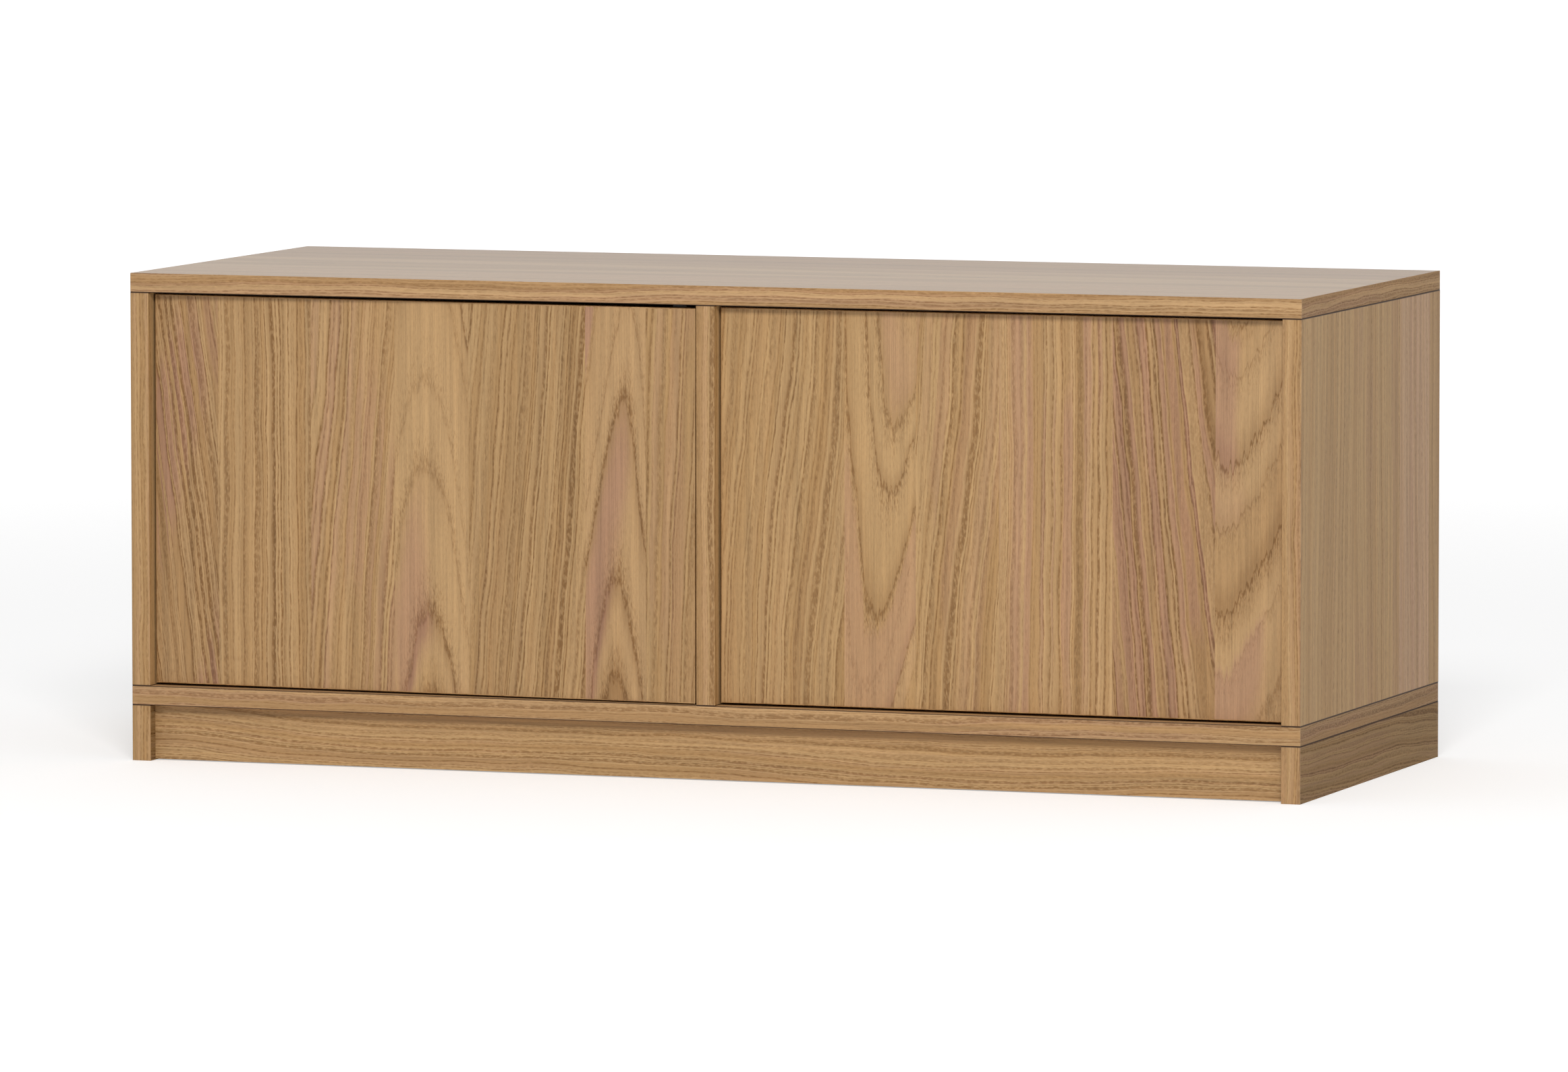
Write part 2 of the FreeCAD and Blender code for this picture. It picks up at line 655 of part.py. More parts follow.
PLUNGER_SHOULDER_Y = f"({TIP_Y} + plunger_chamfer)"
plunger_tip = cone(
    "plunger_tip", "plunger_radius - plunger_chamfer", "plunger_radius",
    (minus(LATCH_X), TIP_Y, LATCH_Z), "+Y", "plunger_chamfer",
)
plunger_rod = cylinder(
    "plunger_rod", "plunger_radius", (minus(LATCH_X), PLUNGER_SHOULDER_Y, LATCH_Z), "+Y",
    "plunger_length - plunger_chamfer",
)
left_latch_plunger = join("left_latch_plunger", [plunger_tip, plunger_rod])
right_latch_plunger = mirrored("right_latch_plunger", left_latch_plunger)

# Corner blocks in the plinth and their screws into the bottom board
corner_blocks, block_screws, block_screw_holes = [], [], []
BLOCK_X = left(f"{PLINTH_INNER} - corner_block_width", PLINTH_INNER)
BLOCK_LOW = "(plinth_height - corner_block_height)"
front_block_y = (KICK_BACK_Y, f"({KICK_BACK_Y} + corner_block_width)")
rear_block_y = (f"({RAIL_FRONT_Y} - corner_block_width)", RAIL_FRONT_Y)
for y in (front_block_y, rear_block_y):
    block = box("corner_block_blank", BLOCK_X, y, (BLOCK_LOW, "plinth_height"))
    point = (f"(({BLOCK_X[0]} + {BLOCK_X[1]}) / 2)", f"(({y[0]} + {y[1]}) / 2)", BLOCK_LOW)
    block_screws.append(flat_screw("block_screw", point, "+Z", "block_screw_length"))
    hole = flat_screw("block_screw_hole", point, "+Z", "block_screw_length", " + fastener_fit")
    block_screw_holes.append(hole)
    corner_blocks.append(cut("corner_block", block, [hole]))
plinth_corner_blocks = both_sides("plinth_corner_blocks", corner_blocks)
plinth_block_screws = both_sides("plinth_block_screws", block_screws)
block_holes = both_sides("block_holes", block_screw_holes)

# Carcass boards, drilled and rebated
top_core = board("top_core", CORE_WIDTH, CORE_DEPTH, TOP_LEVEL)
shared_holes = [back_recess, dowel_holes, bolt_holes, back_screw_holes]
top_board = cut("top_board", top_core, [*shared_holes, latch_screw_holes])
bottom_core = board("bottom_core", CORE_WIDTH, CORE_DEPTH, BASE_LEVEL)
bottom_board = cut("bottom_board", bottom_core, [*shared_holes, block_holes])
side_core = board("side_core", LEFT_SIDE_X, CORE_DEPTH, SIDE_LEVEL)
upright_holes = [*shared_holes, cam_holes, pin_holes]
left_side = cut("left_side", side_core, [*upright_holes, hinge_plate_holes])
right_side = mirrored("right_side", left_side)
divider_core = board("divider_core", DIVIDER_X, CORE_DEPTH, SIDE_LEVEL)
divider = cut("divider", divider_core, upright_holes)
PANEL_REACH = f"({LAP_REACH} - back_panel_play)"
panel_sheet = board(
    "back_panel_sheet",
    (minus(PANEL_REACH), PANEL_REACH),
    (BACK_FACE, REAR),
    (f"({BASE_TOP} - back_panel_lap + back_panel_play)", f"({CEILING} + back_panel_lap - back_panel_play)"),
)
back_panel = cut("back_panel", panel_sheet, [back_screw_holes])

# Shelves
SHELF_X = left(f"{HALF_BOARD} + shelf_side_play", f"{INNER} - shelf_side_play")
SHELF_LEVEL = (SHELF_LOW, f"({SHELF_LOW} + shelf_board)")
SHELF_CORE_Y = (f"({SHELF_FRONT_Y} + band_thickness)", f"({BACK_FACE} - shelf_rear_play)")
left_shelf = board("left_shelf", SHELF_X, SHELF_CORE_Y, SHELF_LEVEL)
right_shelf = mirrored("right_shelf", left_shelf)
shelf_band = board(
    "shelf_band", SHELF_X, (SHELF_FRONT_Y, f"({SHELF_FRONT_Y} + band_thickness)"), SHELF_LEVEL, front_face,
)
shelf_front_bands = both_sides("shelf_front_bands", [shelf_band])

# Plinth
PLINTH_LEVEL = ("0", "plinth_height")
RAIL_LEVEL = ("rail_floor_gap", "plinth_height")
PLINTH_SIDE_X = left(PLINTH_INNER, OUTER)
RAIL_X = (minus(PLINTH_INNER), PLINTH_INNER)
plinth_side_core = board("plinth_side_core", PLINTH_SIDE_X, CORE_DEPTH, PLINTH_LEVEL)
plinth_left_side = cut("plinth_left_side", plinth_side_core, [dowel_holes])
plinth_right_side = mirrored("plinth_right_side", plinth_left_side)
plinth_band = board("plinth_band", PLINTH_SIDE_X, BAND_DEPTH, PLINTH_LEVEL, front_face)
plinth_front_bands = both_sides("plinth_front_bands", [plinth_band])
kick_core = board("kick_core", RAIL_X, (KICK_FRONT_Y, KICK_BACK_Y), RAIL_LEVEL)
kick_board = cut("kick_board", kick_core, [dowel_holes])
rail_core = board("rail_core", RAIL_X, (RAIL_FRONT_Y, RAIL_BACK_Y), RAIL_LEVEL)
plinth_rear_rail = cut("plinth_rear_rail", rail_core, [dowel_holes])
BRACE_X = ("(-plinth_board / 2)", "(plinth_board / 2)")
brace_core = board("brace_core", BRACE_X, (KICK_BACK_Y, RAIL_FRONT_Y), RAIL_LEVEL)
plinth_brace = cut("plinth_brace", brace_core, [dowel_holes])

# Hinge cups, pins, screws and arms for the left door, in its shut place
CUP_CENTRE_X = minus(CUP_X)
FLANGE_X = f"({CUP_CENTRE_X} + flange_offset)"
FLANGE_FACE_Y = f"({DOOR_BACK} + flange_thickness)"
PIN_LENGTH = f"({LUG_GAP} + 2 * lug_thickness + 2 * hinge_pin_overhang)"
CUP_DEPTH = f"({DOOR_BACK} - {CUP_FLOOR_Y} + cup_wall)"
SWING_RADIUS = "sqrt(pivot_inset ^ 2 + (door_board - pivot_depth) ^ 2)"
BEND_INNER = f"({SWING_RADIUS} + arm_clearance)"
BEND_OUTER = f"({BEND_INNER} + arm_strip)"

cups, pins, arms, cup_screws, cup_screw_holes, cup_pockets = {}, {}, {}, [], [], []
for level_name, z in HINGE_LEVELS.items():
    cup_start = (CUP_CENTRE_X, DOOR_BACK, z)
    shell = cylinder("cup_shell", "cup_radius", cup_start, "-Y", CUP_DEPTH)
    rim = cylinder("cup_rim", "cup_radius + cup_wall", cup_start, "+Y", "flange_thickness")
    ears = box(
        "cup_ears",
        (f"({FLANGE_X} - flange_width / 2)", f"({FLANGE_X} + flange_width / 2)"),
        (DOOR_BACK, FLANGE_FACE_Y),
        (f"({z} - flange_length / 2)", f"({z} + flange_length / 2)"),
    )
    hollow = cylinder(
        "cup_hollow", "cup_radius - cup_wall", (CUP_CENTRE_X, FLANGE_FACE_Y, z), "-Y",
        f"{CUP_DEPTH} + flange_thickness - cup_wall",
    )
    lugs = []
    for side in ("-", "+"):
        near = f"({z} {side} {LUG_GAP} / 2)"
        far = f"({z} {side} ({LUG_GAP} / 2 + lug_thickness))"
        lugs.append(box(
            "cup_lug",
            (f"({minus(PIVOT_X)} - lug_width / 2)", f"({minus(PIVOT_X)} + lug_width / 2)"),
            (CUP_FLOOR_Y, f"({PIVOT_Y} + eye_radius)"),
            (far, near) if side == "-" else (near, far),
        ))
    pin_start = (minus(PIVOT_X), PIVOT_Y, f"({z} - {PIN_LENGTH} / 2)")
    pins[level_name] = cylinder("hinge_pin", "hinge_pin_radius", pin_start, "+Z", PIN_LENGTH)
    pin_bore = cylinder("pin_bore", "hinge_pin_radius + hinge_pin_fit / 2", pin_start, "+Z", PIN_LENGTH)
    screw_holes = []
    for side in ("-", "+"):
        point = (FLANGE_X, FLANGE_FACE_Y, f"({z} {side} cup_screw_spacing / 2)")
        cup_screws.append(flat_screw("cup_screw", point, "-Y", "cup_screw_length"))
        hole = flat_screw("cup_screw_hole", point, "-Y", "cup_screw_length", " + fastener_fit")
        screw_holes.append(hole)
        cup_screw_holes.append(hole)
    hollowed = cut("cup_hollowed", join("cup_blank", [shell, rim, ears]), [hollow])
    cups[level_name] = cut("hinge_cup", join("cup_with_lugs", [hollowed, *lugs]), [pin_bore, *screw_holes])
    pocket_depth = f"{CUP_DEPTH} + cup_fit"
    cup_pockets.append(cylinder("cup_pocket", "cup_radius + cup_fit", cup_start, "-Y", pocket_depth))


def hinge_arm(name, z):
    """Arm from the pin, round the door's edge and back along the side, drawn about the pin."""
    low = "(-arm_width / 2)"
    eye = cylinder("arm_eye", "eye_radius", ("0", "0", low), "+Z", "arm_width")
    spoke = document.addObject("Part::Box", "arm_spoke")
    spoke.Placement = FreeCAD.Placement(Vector(), Rotation(Vector(0, 0, 1), 1))
    bind(spoke, Length=f"{BEND_INNER} + arm_strip / 2", Width="arm_strip", Height="arm_width")
    spoke.setExpression("Placement.Rotation.Angle", formula("spoke_angle"))
    place(spoke, "arm_strip / 2 * sin(spoke_angle)", "-arm_strip / 2 * cos(spoke_angle)", low)
    sectors = []
    for sector_name, radius in (("bend_outside", BEND_OUTER), ("bend_inside", BEND_INNER)):
        sector = cylinder(sector_name, radius, ("0", "0", low), "+Z", "arm_width")
        sector.Placement = FreeCAD.Placement(Vector(), Rotation(Vector(0, 0, 1), 1))
        sectors.append(sector)
    outside, inside = sectors
    bind(outside, Angle="bend_end_angle - spoke_angle")
    outside.setExpression("Placement.Rotation.Angle", formula("spoke_angle"))
    place(outside, "0", "0", low)
    place(inside, "0", "0", low)
    bend = cut("arm_bend", outside, [inside])
    pivot_height = "(door_side_gap + pivot_inset)"
    body_low_x = f"(mount_height - {pivot_height})"
    body_high_x = f"(mount_height + arm_height - {pivot_height})"
    line_y = "(door_board - pivot_depth + mount_line)"
    body_start_y = f"sqrt({BEND_INNER} ^ 2 - {body_high_x} ^ 2)"
    bar_y = (body_start_y, f"({line_y} + arm_tail)")
    bar = box("arm_bar", (body_low_x, body_high_x), bar_y, (low, "(arm_width / 2)"))
    pin_radius = "hinge_pin_radius + hinge_pin_fit"
    screw_radius = "arm_screw_radius + fastener_fit"
    bores = [cylinder("arm_pin_bore", pin_radius, ("0", "0", low), "+Z", "arm_width")]
    for side in ("-", "+"):
        start = (body_high_x, f"({line_y} {side} arm_screw_offset)", "0")
        bores.append(cylinder("arm_screw_bore", screw_radius, start, "-X", "arm_height"))
    arm = cut(name, join("arm_blank", [eye, spoke, bend, bar]), bores)
    return place(arm, minus(PIVOT_X), PIVOT_Y, z)


for level_name, z in HINGE_LEVELS.items():
    arms[level_name] = hinge_arm(f"left_{level_name}_hinge_arm", z)

# Door leaves and bands, in the left door's shut place
LEAF_X = left(DOOR_FREE_EDGE, DOOR_HINGE_EDGE)
LEAF_Y = (DOOR_FRONT, DOOR_BACK)
LEAF_Z = (DOOR_LOW, DOOR_HIGH)
LEAF_CORE_X = (f"({LEAF_X[0]} + band_thickness)", f"({LEAF_X[1]} - band_thickness)")
LEAF_CORE_Z = (f"({LEAF_Z[0]} + band_thickness)", f"({LEAF_Z[1]} - band_thickness)")
leaf_core = board("leaf_core", LEAF_CORE_X, LEAF_Y, LEAF_CORE_Z)
leaf_bands = group("leaf_bands", [
    board("leaf_hinge_band", (LEAF_X[0], LEAF_CORE_X[0]), LEAF_Y, LEAF_Z, whole_left_face),
    board("leaf_free_band", (LEAF_CORE_X[1], LEAF_X[1]), LEAF_Y, LEAF_Z, whole_right_face),
    board("leaf_low_band", LEAF_CORE_X, LEAF_Y, (LEAF_Z[0], LEAF_CORE_Z[0]), lower_face_lines),
    board("leaf_high_band", LEAF_CORE_X, LEAF_Y, (LEAF_CORE_Z[1], LEAF_Z[1]), upper_face_lines),
])
leaf_holes = [group("leaf_pockets", cup_pockets), group("leaf_screw_holes", cup_screw_holes)]
closed_screws = group("closed_cup_screws", cup_screws)
closed_pins = group("closed_hinge_pins", list(pins.values()))
closed_strike = cylinder(
    "closed_strike", "strike_radius", (minus(LATCH_X), DOOR_BACK, LATCH_Z), "+Y", "strike_thickness",
)


def turned(name, source, axis, angle, centre):
    """The source turned about an axis through a centre, by formulas."""
    copy = group(name, [source])
    still = "create(<<vector>>; 0; 0; 0)"
    turn = f"create(<<rotation>>; create(<<vector>>; {axis}); {angle})"
    middle = f"create(<<vector>>; {centre})"
    copy.setExpression("Placement", formula(f"create(<<placement>>; {still}; {turn}; {middle})"))
    return copy


def sagged(name, source):
    """The left leaf hangs a little low at its free edge."""
    return turned(name, source, "0; 1; 0", "left_door_sag", f"{minus(PIVOT_X)}; 0; {MID_HEIGHT}")


def ajar(name, source):
    """The left door stands a little open on its hinge pins."""
    return turned(name, source, "0; 0; 1", "-left_door_ajar", f"{minus(PIVOT_X)}; {PIVOT_Y}; 0")


left_leaf = cut("left_leaf_drilled", sagged("left_leaf_core", leaf_core), leaf_holes)
left_door = ajar("left_door", left_leaf)
left_door_edge_bands = ajar("left_door_edge_bands", sagged("left_leaf_bands", leaf_bands))
right_door = mirrored("right_door", cut("right_leaf_drilled", leaf_core, leaf_holes))
right_door_edge_bands = mirrored("right_door_edge_bands", leaf_bands)

nodes = [
    top_board, top_front_band, top_left_band, top_right_band,
    bottom_board, bottom_front_band, bottom_left_band, bottom_right_band,
    left_side, left_side_band, right_side, right_side_band, divider, divider_band,
    back_panel, back_panel_screws, left_shelf, right_shelf, shelf_front_bands, shelf_pins,
    plinth_left_side, plinth_right_side, plinth_front_bands, kick_board, plinth_rear_rail, plinth_brace,
    plinth_corner_blocks, plinth_block_screws, wood_dowels, cam_locks, cam_bolts,
    left_door, left_door_edge_bands, right_door, right_door_edge_bands,
    ajar("left_door_hinge_screws", closed_screws), mirrored("right_door_hinge_screws", closed_screws),
    ajar("left_door_hinge_pins", closed_pins), mirrored("right_door_hinge_pins", closed_pins),
    ajar("left_strike_plate", closed_strike), mirrored("right_strike_plate", closed_strike),
    left_latch_housing, right_latch_housing, left_latch_plunger, right_latch_plunger, latch_screws,
    hinge_plate_screws, hinge_arm_screws,
]
for level_name in HINGE_LEVELS:
    nodes += [
        ajar(f"left_{level_name}_hinge_cup", cups[level_name]),
        mirrored(f"right_{level_name}_hinge_cup", cups[level_name]),
        arms[level_name],
        mirrored(f"right_{level_name}_hinge_arm", arms[level_name]),
        mount_plates[level_name],
        mirrored(f"right_{level_name}_hinge_plate", mount_plates[level_name]),
    ]
document.recompute()

# Every object has to be sound before anything is written
for item in document.Objects:
    if "Invalid" in item.State or "Error" in item.State:
        raise RuntimeError(f"{item.Label} did not build: {item.State}")
for node in nodes:
    if node.Shape.isNull() or not node.Shape.isValid() or not node.Shape.Solids:
        raise RuntimeError(f"{node.Label} has no sound solid")

os.makedirs("parts", exist_ok=True)
for node in nodes:
    node.Shape.exportStep(f"parts/{node.Label}.step")
print(len(nodes), "nodes,", sum(len(node.Shape.Solids) for node in nodes), "solids")
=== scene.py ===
import json
import math
from contextlib import contextmanager
from typing import NamedTuple

import bmesh
import bpy
from mathutils import Matrix, Vector


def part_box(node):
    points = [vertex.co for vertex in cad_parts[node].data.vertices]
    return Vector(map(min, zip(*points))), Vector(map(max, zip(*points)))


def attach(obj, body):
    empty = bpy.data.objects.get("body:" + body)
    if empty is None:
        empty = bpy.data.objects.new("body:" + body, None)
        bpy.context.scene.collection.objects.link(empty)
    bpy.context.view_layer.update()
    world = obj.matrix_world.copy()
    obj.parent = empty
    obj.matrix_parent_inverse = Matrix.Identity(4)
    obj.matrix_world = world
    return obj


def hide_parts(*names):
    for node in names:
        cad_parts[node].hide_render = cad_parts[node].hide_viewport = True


# Storage cabinet: an oak-veneered carcass on a recessed plinth, with two flat inset doors.
# Lengths are in metres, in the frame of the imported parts: +X right, +Y back, +Z up.

bl_info = {
    "name": "Storage Cabinet",
    "version": (1, 0, 0),
    "blender": (4, 5, 0),
    "location": "View3D > Sidebar > Cabinet",
    "description": "Finishes the cabinet's boards, fittings and stage",
    "category": "Object",
}

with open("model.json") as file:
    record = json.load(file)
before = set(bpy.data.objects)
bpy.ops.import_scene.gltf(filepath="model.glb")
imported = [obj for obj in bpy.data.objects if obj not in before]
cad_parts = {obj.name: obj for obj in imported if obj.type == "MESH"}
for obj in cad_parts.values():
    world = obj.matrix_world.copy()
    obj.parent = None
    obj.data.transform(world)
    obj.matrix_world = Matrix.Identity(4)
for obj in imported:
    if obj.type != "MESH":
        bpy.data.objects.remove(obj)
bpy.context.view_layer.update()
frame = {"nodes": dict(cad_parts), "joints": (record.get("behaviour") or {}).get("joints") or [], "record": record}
nodes = frame["nodes"]

# Axes
X, Y, Z = range(3)
BACKWARD = Vector((0.0, 1.0, 0.0))
DOWNWARD = Vector((0.0, 0.0, -1.0))

# What the record and the solids say
BODIES = frame["record"]["behaviour"]["bodies"]
BODY_OF = {name: body for body, members in BODIES.items() for name in members}
LEFT_HINGE = next(joint for joint in frame["joints"] if joint["name"] == "left_door_hinge")
AJAR = math.radians(-LEFT_HINGE["range_deg"][0])
DOOR_BACK = {"left_door": Matrix.Rotation(-AJAR, 3, "Z") @ BACKWARD, "right_door": BACKWARD}
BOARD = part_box("left_side_band")[1].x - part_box("left_side_band")[0].x
SEAM_LEVELS = [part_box("plinth_left_side")[1].z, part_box("left_side")[0].z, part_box("left_side")[1].z]

# Sizes of the details that the solids leave plain
VENEER = 0.0006
SCREW_RIM = 0.0003
SCREW_SHANK = 0.0015
PLATE_SCREW_SHANK = 0.0025
PLATE_SCREW_HEAD = 0.0016
ARM_SCREW_SHANK = 0.0020
ARM_SCREW_HEAD = 0.0015
SLOT_LENGTH = 0.0100
SLOT_WIDTH = 0.0032
SLOT_DEPTH = 0.0008
CUP_EAR_RADIUS = 0.0045
PLATE_WING_RADIUS = 0.0055
HOUSING_RADIUS = 0.0035
STRIKE_THICKNESS = 0.0015
STRIKE_STEP = 0.0004
STRIKE_GROOVE = 0.0003


# Settings that a user would change

def colour(name, description, default):
    return bpy.props.FloatVectorProperty(
        name=name, description=description, default=default, size=4, min=0.0, max=1.0, subtype="COLOR",
    )


def length(name, description, default):
    return bpy.props.FloatProperty(
        name=name, description=description, default=default, min=0.0, precision=5, unit="LENGTH",
    )


def factor(name, description, default):
    return bpy.props.FloatProperty(
        name=name, description=description, default=default, min=0.0, max=1.0, subtype="FACTOR",
    )


class OakSettings(bpy.types.PropertyGroup):
    """Colours and grain of the oak veneer"""

    light: colour("Light wood", "Wood of the paler rings", (0.512, 0.318, 0.147, 1.0))
    middle: colour("Middle wood", "Wood of the darker rings", (0.390, 0.218, 0.084, 1.0))
    dark: colour("Dark wood", "Growth lines and pores", (0.225, 0.110, 0.034, 1.0))
    pink: colour("Pink wood", "Flushed streaks along the rings", (0.440, 0.245, 0.140, 1.0))
    pink_dark: colour("Dark pink wood", "Growth lines in the flushed streaks", (0.262, 0.126, 0.065, 1.0))
    core: colour("Board core", "Pressed chips under the veneer", (0.470, 0.345, 0.205, 1.0))
    core_dark: colour("Dark chips", "Darker chips in the board core", (0.270, 0.175, 0.090, 1.0))
    seam: colour("Seams", "Shade in the seams between two boards", (0.060, 0.030, 0.014, 1.0))
    roughness: factor("Lacquer roughness", "Roughness of the satin lacquer", 0.45)
    gloss: factor("Lacquer gloss", "Strength of the lacquer's reflection", 0.3)
    line_width: length("Growth line width", "Width of a growth line across the grain", 0.0020)
    pore_width: length("Pore width", "Width of a pore across the grain", 0.0009)
    pore_length: length("Pore length", "Length of a pore along the grain", 0.006)


class FittingSettings(bpy.types.PropertyGroup):
    """Finish of the hinges, latches, screws and pins"""

    nickel: colour("Nickel", "Nickel plating of the hinges and pins", (0.640, 0.630, 0.610, 1.0))
    zinc: colour("Zinc", "Zinc plating of the screws", (0.560, 0.570, 0.580, 1.0))
    cast_zinc: colour("Cast zinc", "Bare cast zinc of the cam locks", (0.500, 0.500, 0.505, 1.0))
    plastic: colour("Latch plastic", "Matte plastic of the push latches", (0.560, 0.550, 0.520, 1.0))
    plunger: colour("Plunger plastic", "Darker plastic of the plungers", (0.330, 0.325, 0.315, 1.0))
    beech: colour("Beech", "Bare beech of the blocks and dowels", (0.560, 0.390, 0.240, 1.0))
    beech_fleck: colour("Beech flecks", "Short dark flecks in the beech", (0.300, 0.170, 0.090, 1.0))
    recess: length("Recess width", "Width of the cross recess in a screw head", 0.0007)


class StageSettings(bpy.types.PropertyGroup):
    """Camera, lamp, sky and floor"""

    lens: bpy.props.FloatProperty(
        name="Lens", description="Focal length on a 36 mm wide sensor", default=261.47, unit="CAMERA",
    )
    key_power: bpy.props.FloatProperty(
        name="Key lamp", description="Power of the large lamp at the front", default=410.0, min=0.0,
        unit="POWER",
    )
    sky: factor("Sky", "Level of the even light from all round", 0.45)
    floor: colour("Floor", "Pale floor under the cabinet", (0.86, 0.86, 0.86, 1.0))
    speckle: colour("Floor speckle", "Faint speckle of the floor", (0.80, 0.80, 0.80, 1.0))


# Node building

NODE_SPACING = 180


def each_way(stretch):
    """A stretch for each axis; a single number holds for all three."""
    return stretch if isinstance(stretch, tuple) else (stretch, stretch, stretch)


class Recipe:
    """Adds nodes to a tree; each method returns the sockets that it makes."""

    def __init__(self, tree):
        self.tree = tree
        self.column = 0

    def add(self, kind, **settings):
        made = self.tree.nodes.new(kind)
        made.location = (self.column * NODE_SPACING, 0)
        self.column += 1
        for name, value in settings.items():
            setattr(made, name, value)
        return made

    def feed(self, socket, value):
        """Link a socket, or give it a plain value."""
        if isinstance(value, bpy.types.NodeSocket):
            self.tree.links.new(value, socket)
        else:
            socket.default_value = value

    def fill(self, node, values):
        """Feed a node's inputs by their names."""
        for name, value in values.items():
            self.feed(node.inputs[name], value)

    def made_of(self, made, values):
        """The first output of a node whose first inputs are fed with the values."""
        for socket, value in zip(made.inputs, values):
            self.feed(socket, value)
        return made.outputs[0]

    def math(self, operation, *values, clamp=False):
        return self.made_of(self.add("ShaderNodeMath", operation=operation, use_clamp=clamp), values)

    def vector(self, operation, *values):
        return self.made_of(self.add("ShaderNodeVectorMath", operation=operation), values)

    def minus(self, first, second):
        return self.math("SUBTRACT", first, second)

    def plus(self, first, second, share):
        """first + second * share"""
        return self.math("MULTIPLY_ADD", second, share, first)

    def times(self, first, *others):
        """The product of all the values."""
        for other in others:
            first = self.math("MULTIPLY", first, other)
        return first

    def scaled(self, shade, level):
        """A colour, lighter or darker by a level."""
        result = self.vector("SCALE", shade)
        self.fill(result.node, {"Scale": level})
        return result

    def split(self, vector):
        made = self.add("ShaderNodeSeparateXYZ")
        self.feed(made.inputs[0], vector)
        return made.outputs[:]

    def combine(self, x, y, z):
        return self.made_of(self.add("ShaderNodeCombineXYZ"), (x, y, z))

    def rise(self, value, low, high):
        """0 below low, 1 above high, smooth between."""
        made = self.add("ShaderNodeMapRange", interpolation_type="SMOOTHSTEP")
        return self.made_of(made, (value, low, high, 0.0, 1.0))

    def fall(self, value, low, high):
        """1 below low, 0 above high, smooth between."""
        return self.minus(1.0, self.rise(value, low, high))

    def noise(self, place, stretch, detail=0.0):
        """Noise with its own scale along each axis; the middle value is about 0.5."""
        made = self.add("ShaderNodeTexNoise", noise_dimensions="3D")
        spread = self.vector("MULTIPLY", place, each_way(stretch))
        self.fill(made, {"Vector": spread, "Scale": 1.0, "Detail": detail})
        return made.outputs[0]

    def sway(self, place, stretch, detail=0.0):
        """Noise to both sides of zero."""
        return self.minus(self.noise(place, stretch, detail), 0.5)

    def line_noise(self, value, scale, shift):
        """Noise along a single value."""
        made = self.add("ShaderNodeTexNoise", noise_dimensions="1D")
        self.fill(made, {"W": self.plus(shift, value, scale), "Scale": 1.0, "Detail": 0.0})
        return made.outputs[0]

    def chips(self, place, stretch):
        """Cells of a random shade each, and the distance from the middle of a cell."""
        made = self.add("ShaderNodeTexVoronoi")
        self.fill(made, {"Vector": self.vector("MULTIPLY", place, each_way(stretch)), "Scale": 1.0})
        return self.split(made.outputs["Color"])[0], made.outputs["Distance"]

    def random(self, value):
        made = self.add("ShaderNodeTexWhiteNoise", noise_dimensions="1D")
        self.fill(made, {"W": value})
        return made.outputs[0]

    def mix(self, share, first, second, kind="RGBA"):
        made = self.add("ShaderNodeMix", data_type=kind)
        sockets = [socket for socket in made.inputs if socket.enabled]
        for socket, value in zip(sockets, (share, first, second)):
            self.feed(socket, value)
        return next(socket for socket in made.outputs if socket.enabled)

    def object_place(self):
        return self.add("ShaderNodeTexCoord").outputs["Object"]

    def relief(self, shader, height, strength, distance):
        """Fine relief on a shader."""
        bump = self.add("ShaderNodeBump")
        self.fill(bump, {"Strength": strength, "Distance": distance, "Height": height})
        self.fill(shader, {"Normal": bump.outputs[0]})


def new_material(name):
    """A material, the recipe of its nodes, and its shader."""
    material = bpy.data.materials.new(name)
    material.use_nodes = True
    return material, Recipe(material.node_tree), material.node_tree.nodes["Principled BSDF"]


def finish(names, material):
    for name in names:
        node = nodes[name]
        node.data.materials.clear()
        node.data.materials.append(material)


# Oak veneer

# Noise of the grain: cycles per metre across, along and through the veneer
SLOW_BENDS = (13.0, 3.4, 13.0)
SHORT_WAVES = (60.0, 15.0, 60.0)
FINE_SHAKE = (330.0, 50.0, 330.0)
FRAYED_TIPS = (420.0, 14.0, 420.0)
BROKEN_LINES = (520.0, 190.0, 520.0)
FIBRES = (900.0, 12.0, 900.0)
STREAKS = (150.0, 2.2, 150.0)
GRIT = (760.0, 170.0, 760.0)
FLUSH_PATCHES = (20.0, 4.0, 20.0)

# Noise over the rings: cycles per ring, and a shift that keeps one from another
RING_WIDTHS = (0.55, 3.1)
RING_TONES = (0.31, 8.3)
RING_FLUSHES = (0.43, 21.7)

# The levels of noise between which each feature sets in
WHOLE_LINES = (0.34, 0.62)
PORES = (0.50, 0.66)
DARKER_RINGS = (0.42, 0.66)
FLUSHED_RINGS = (0.44, 0.60)
FLUSHED_WOOD = (0.38, 0.56)

# How far the noise moves the grain
BEND_REACH = 0.022
WAVE_REACH = 0.0045
SHAKE_REACH = 0.0014
FRAY_REACH = 0.022

# Where in a ring the growth line lies and the spring wood ends, and how uneven and faint rings are
LINE_SHARE = 0.4
SPRING_END = 0.95
RING_UNEVENNESS = 1.7
FAINTNESS = 1.3

# Where a growth line starts before its edge and where it fades past it, in line widths
LINE_START = -0.45
LINE_FADE = (0.2, 1.2)
EDGE_SOFTNESS = 0.0002

# How deep each part of a ring is tinted
LATE_TINT = 0.42
SPRING_TINT = 0.24
LINE_TINT = 0.95
PORE_TINT = 0.8
MOST_TONE = 0.6

# How much the fibres and streaks change the shade, and how much the fibres and lines stand out
FIBRE_SHADE = 0.5
STREAK_SHADE = 0.45
FIBRE_RELIEF = 0.5
LINE_RELIEF = -0.4

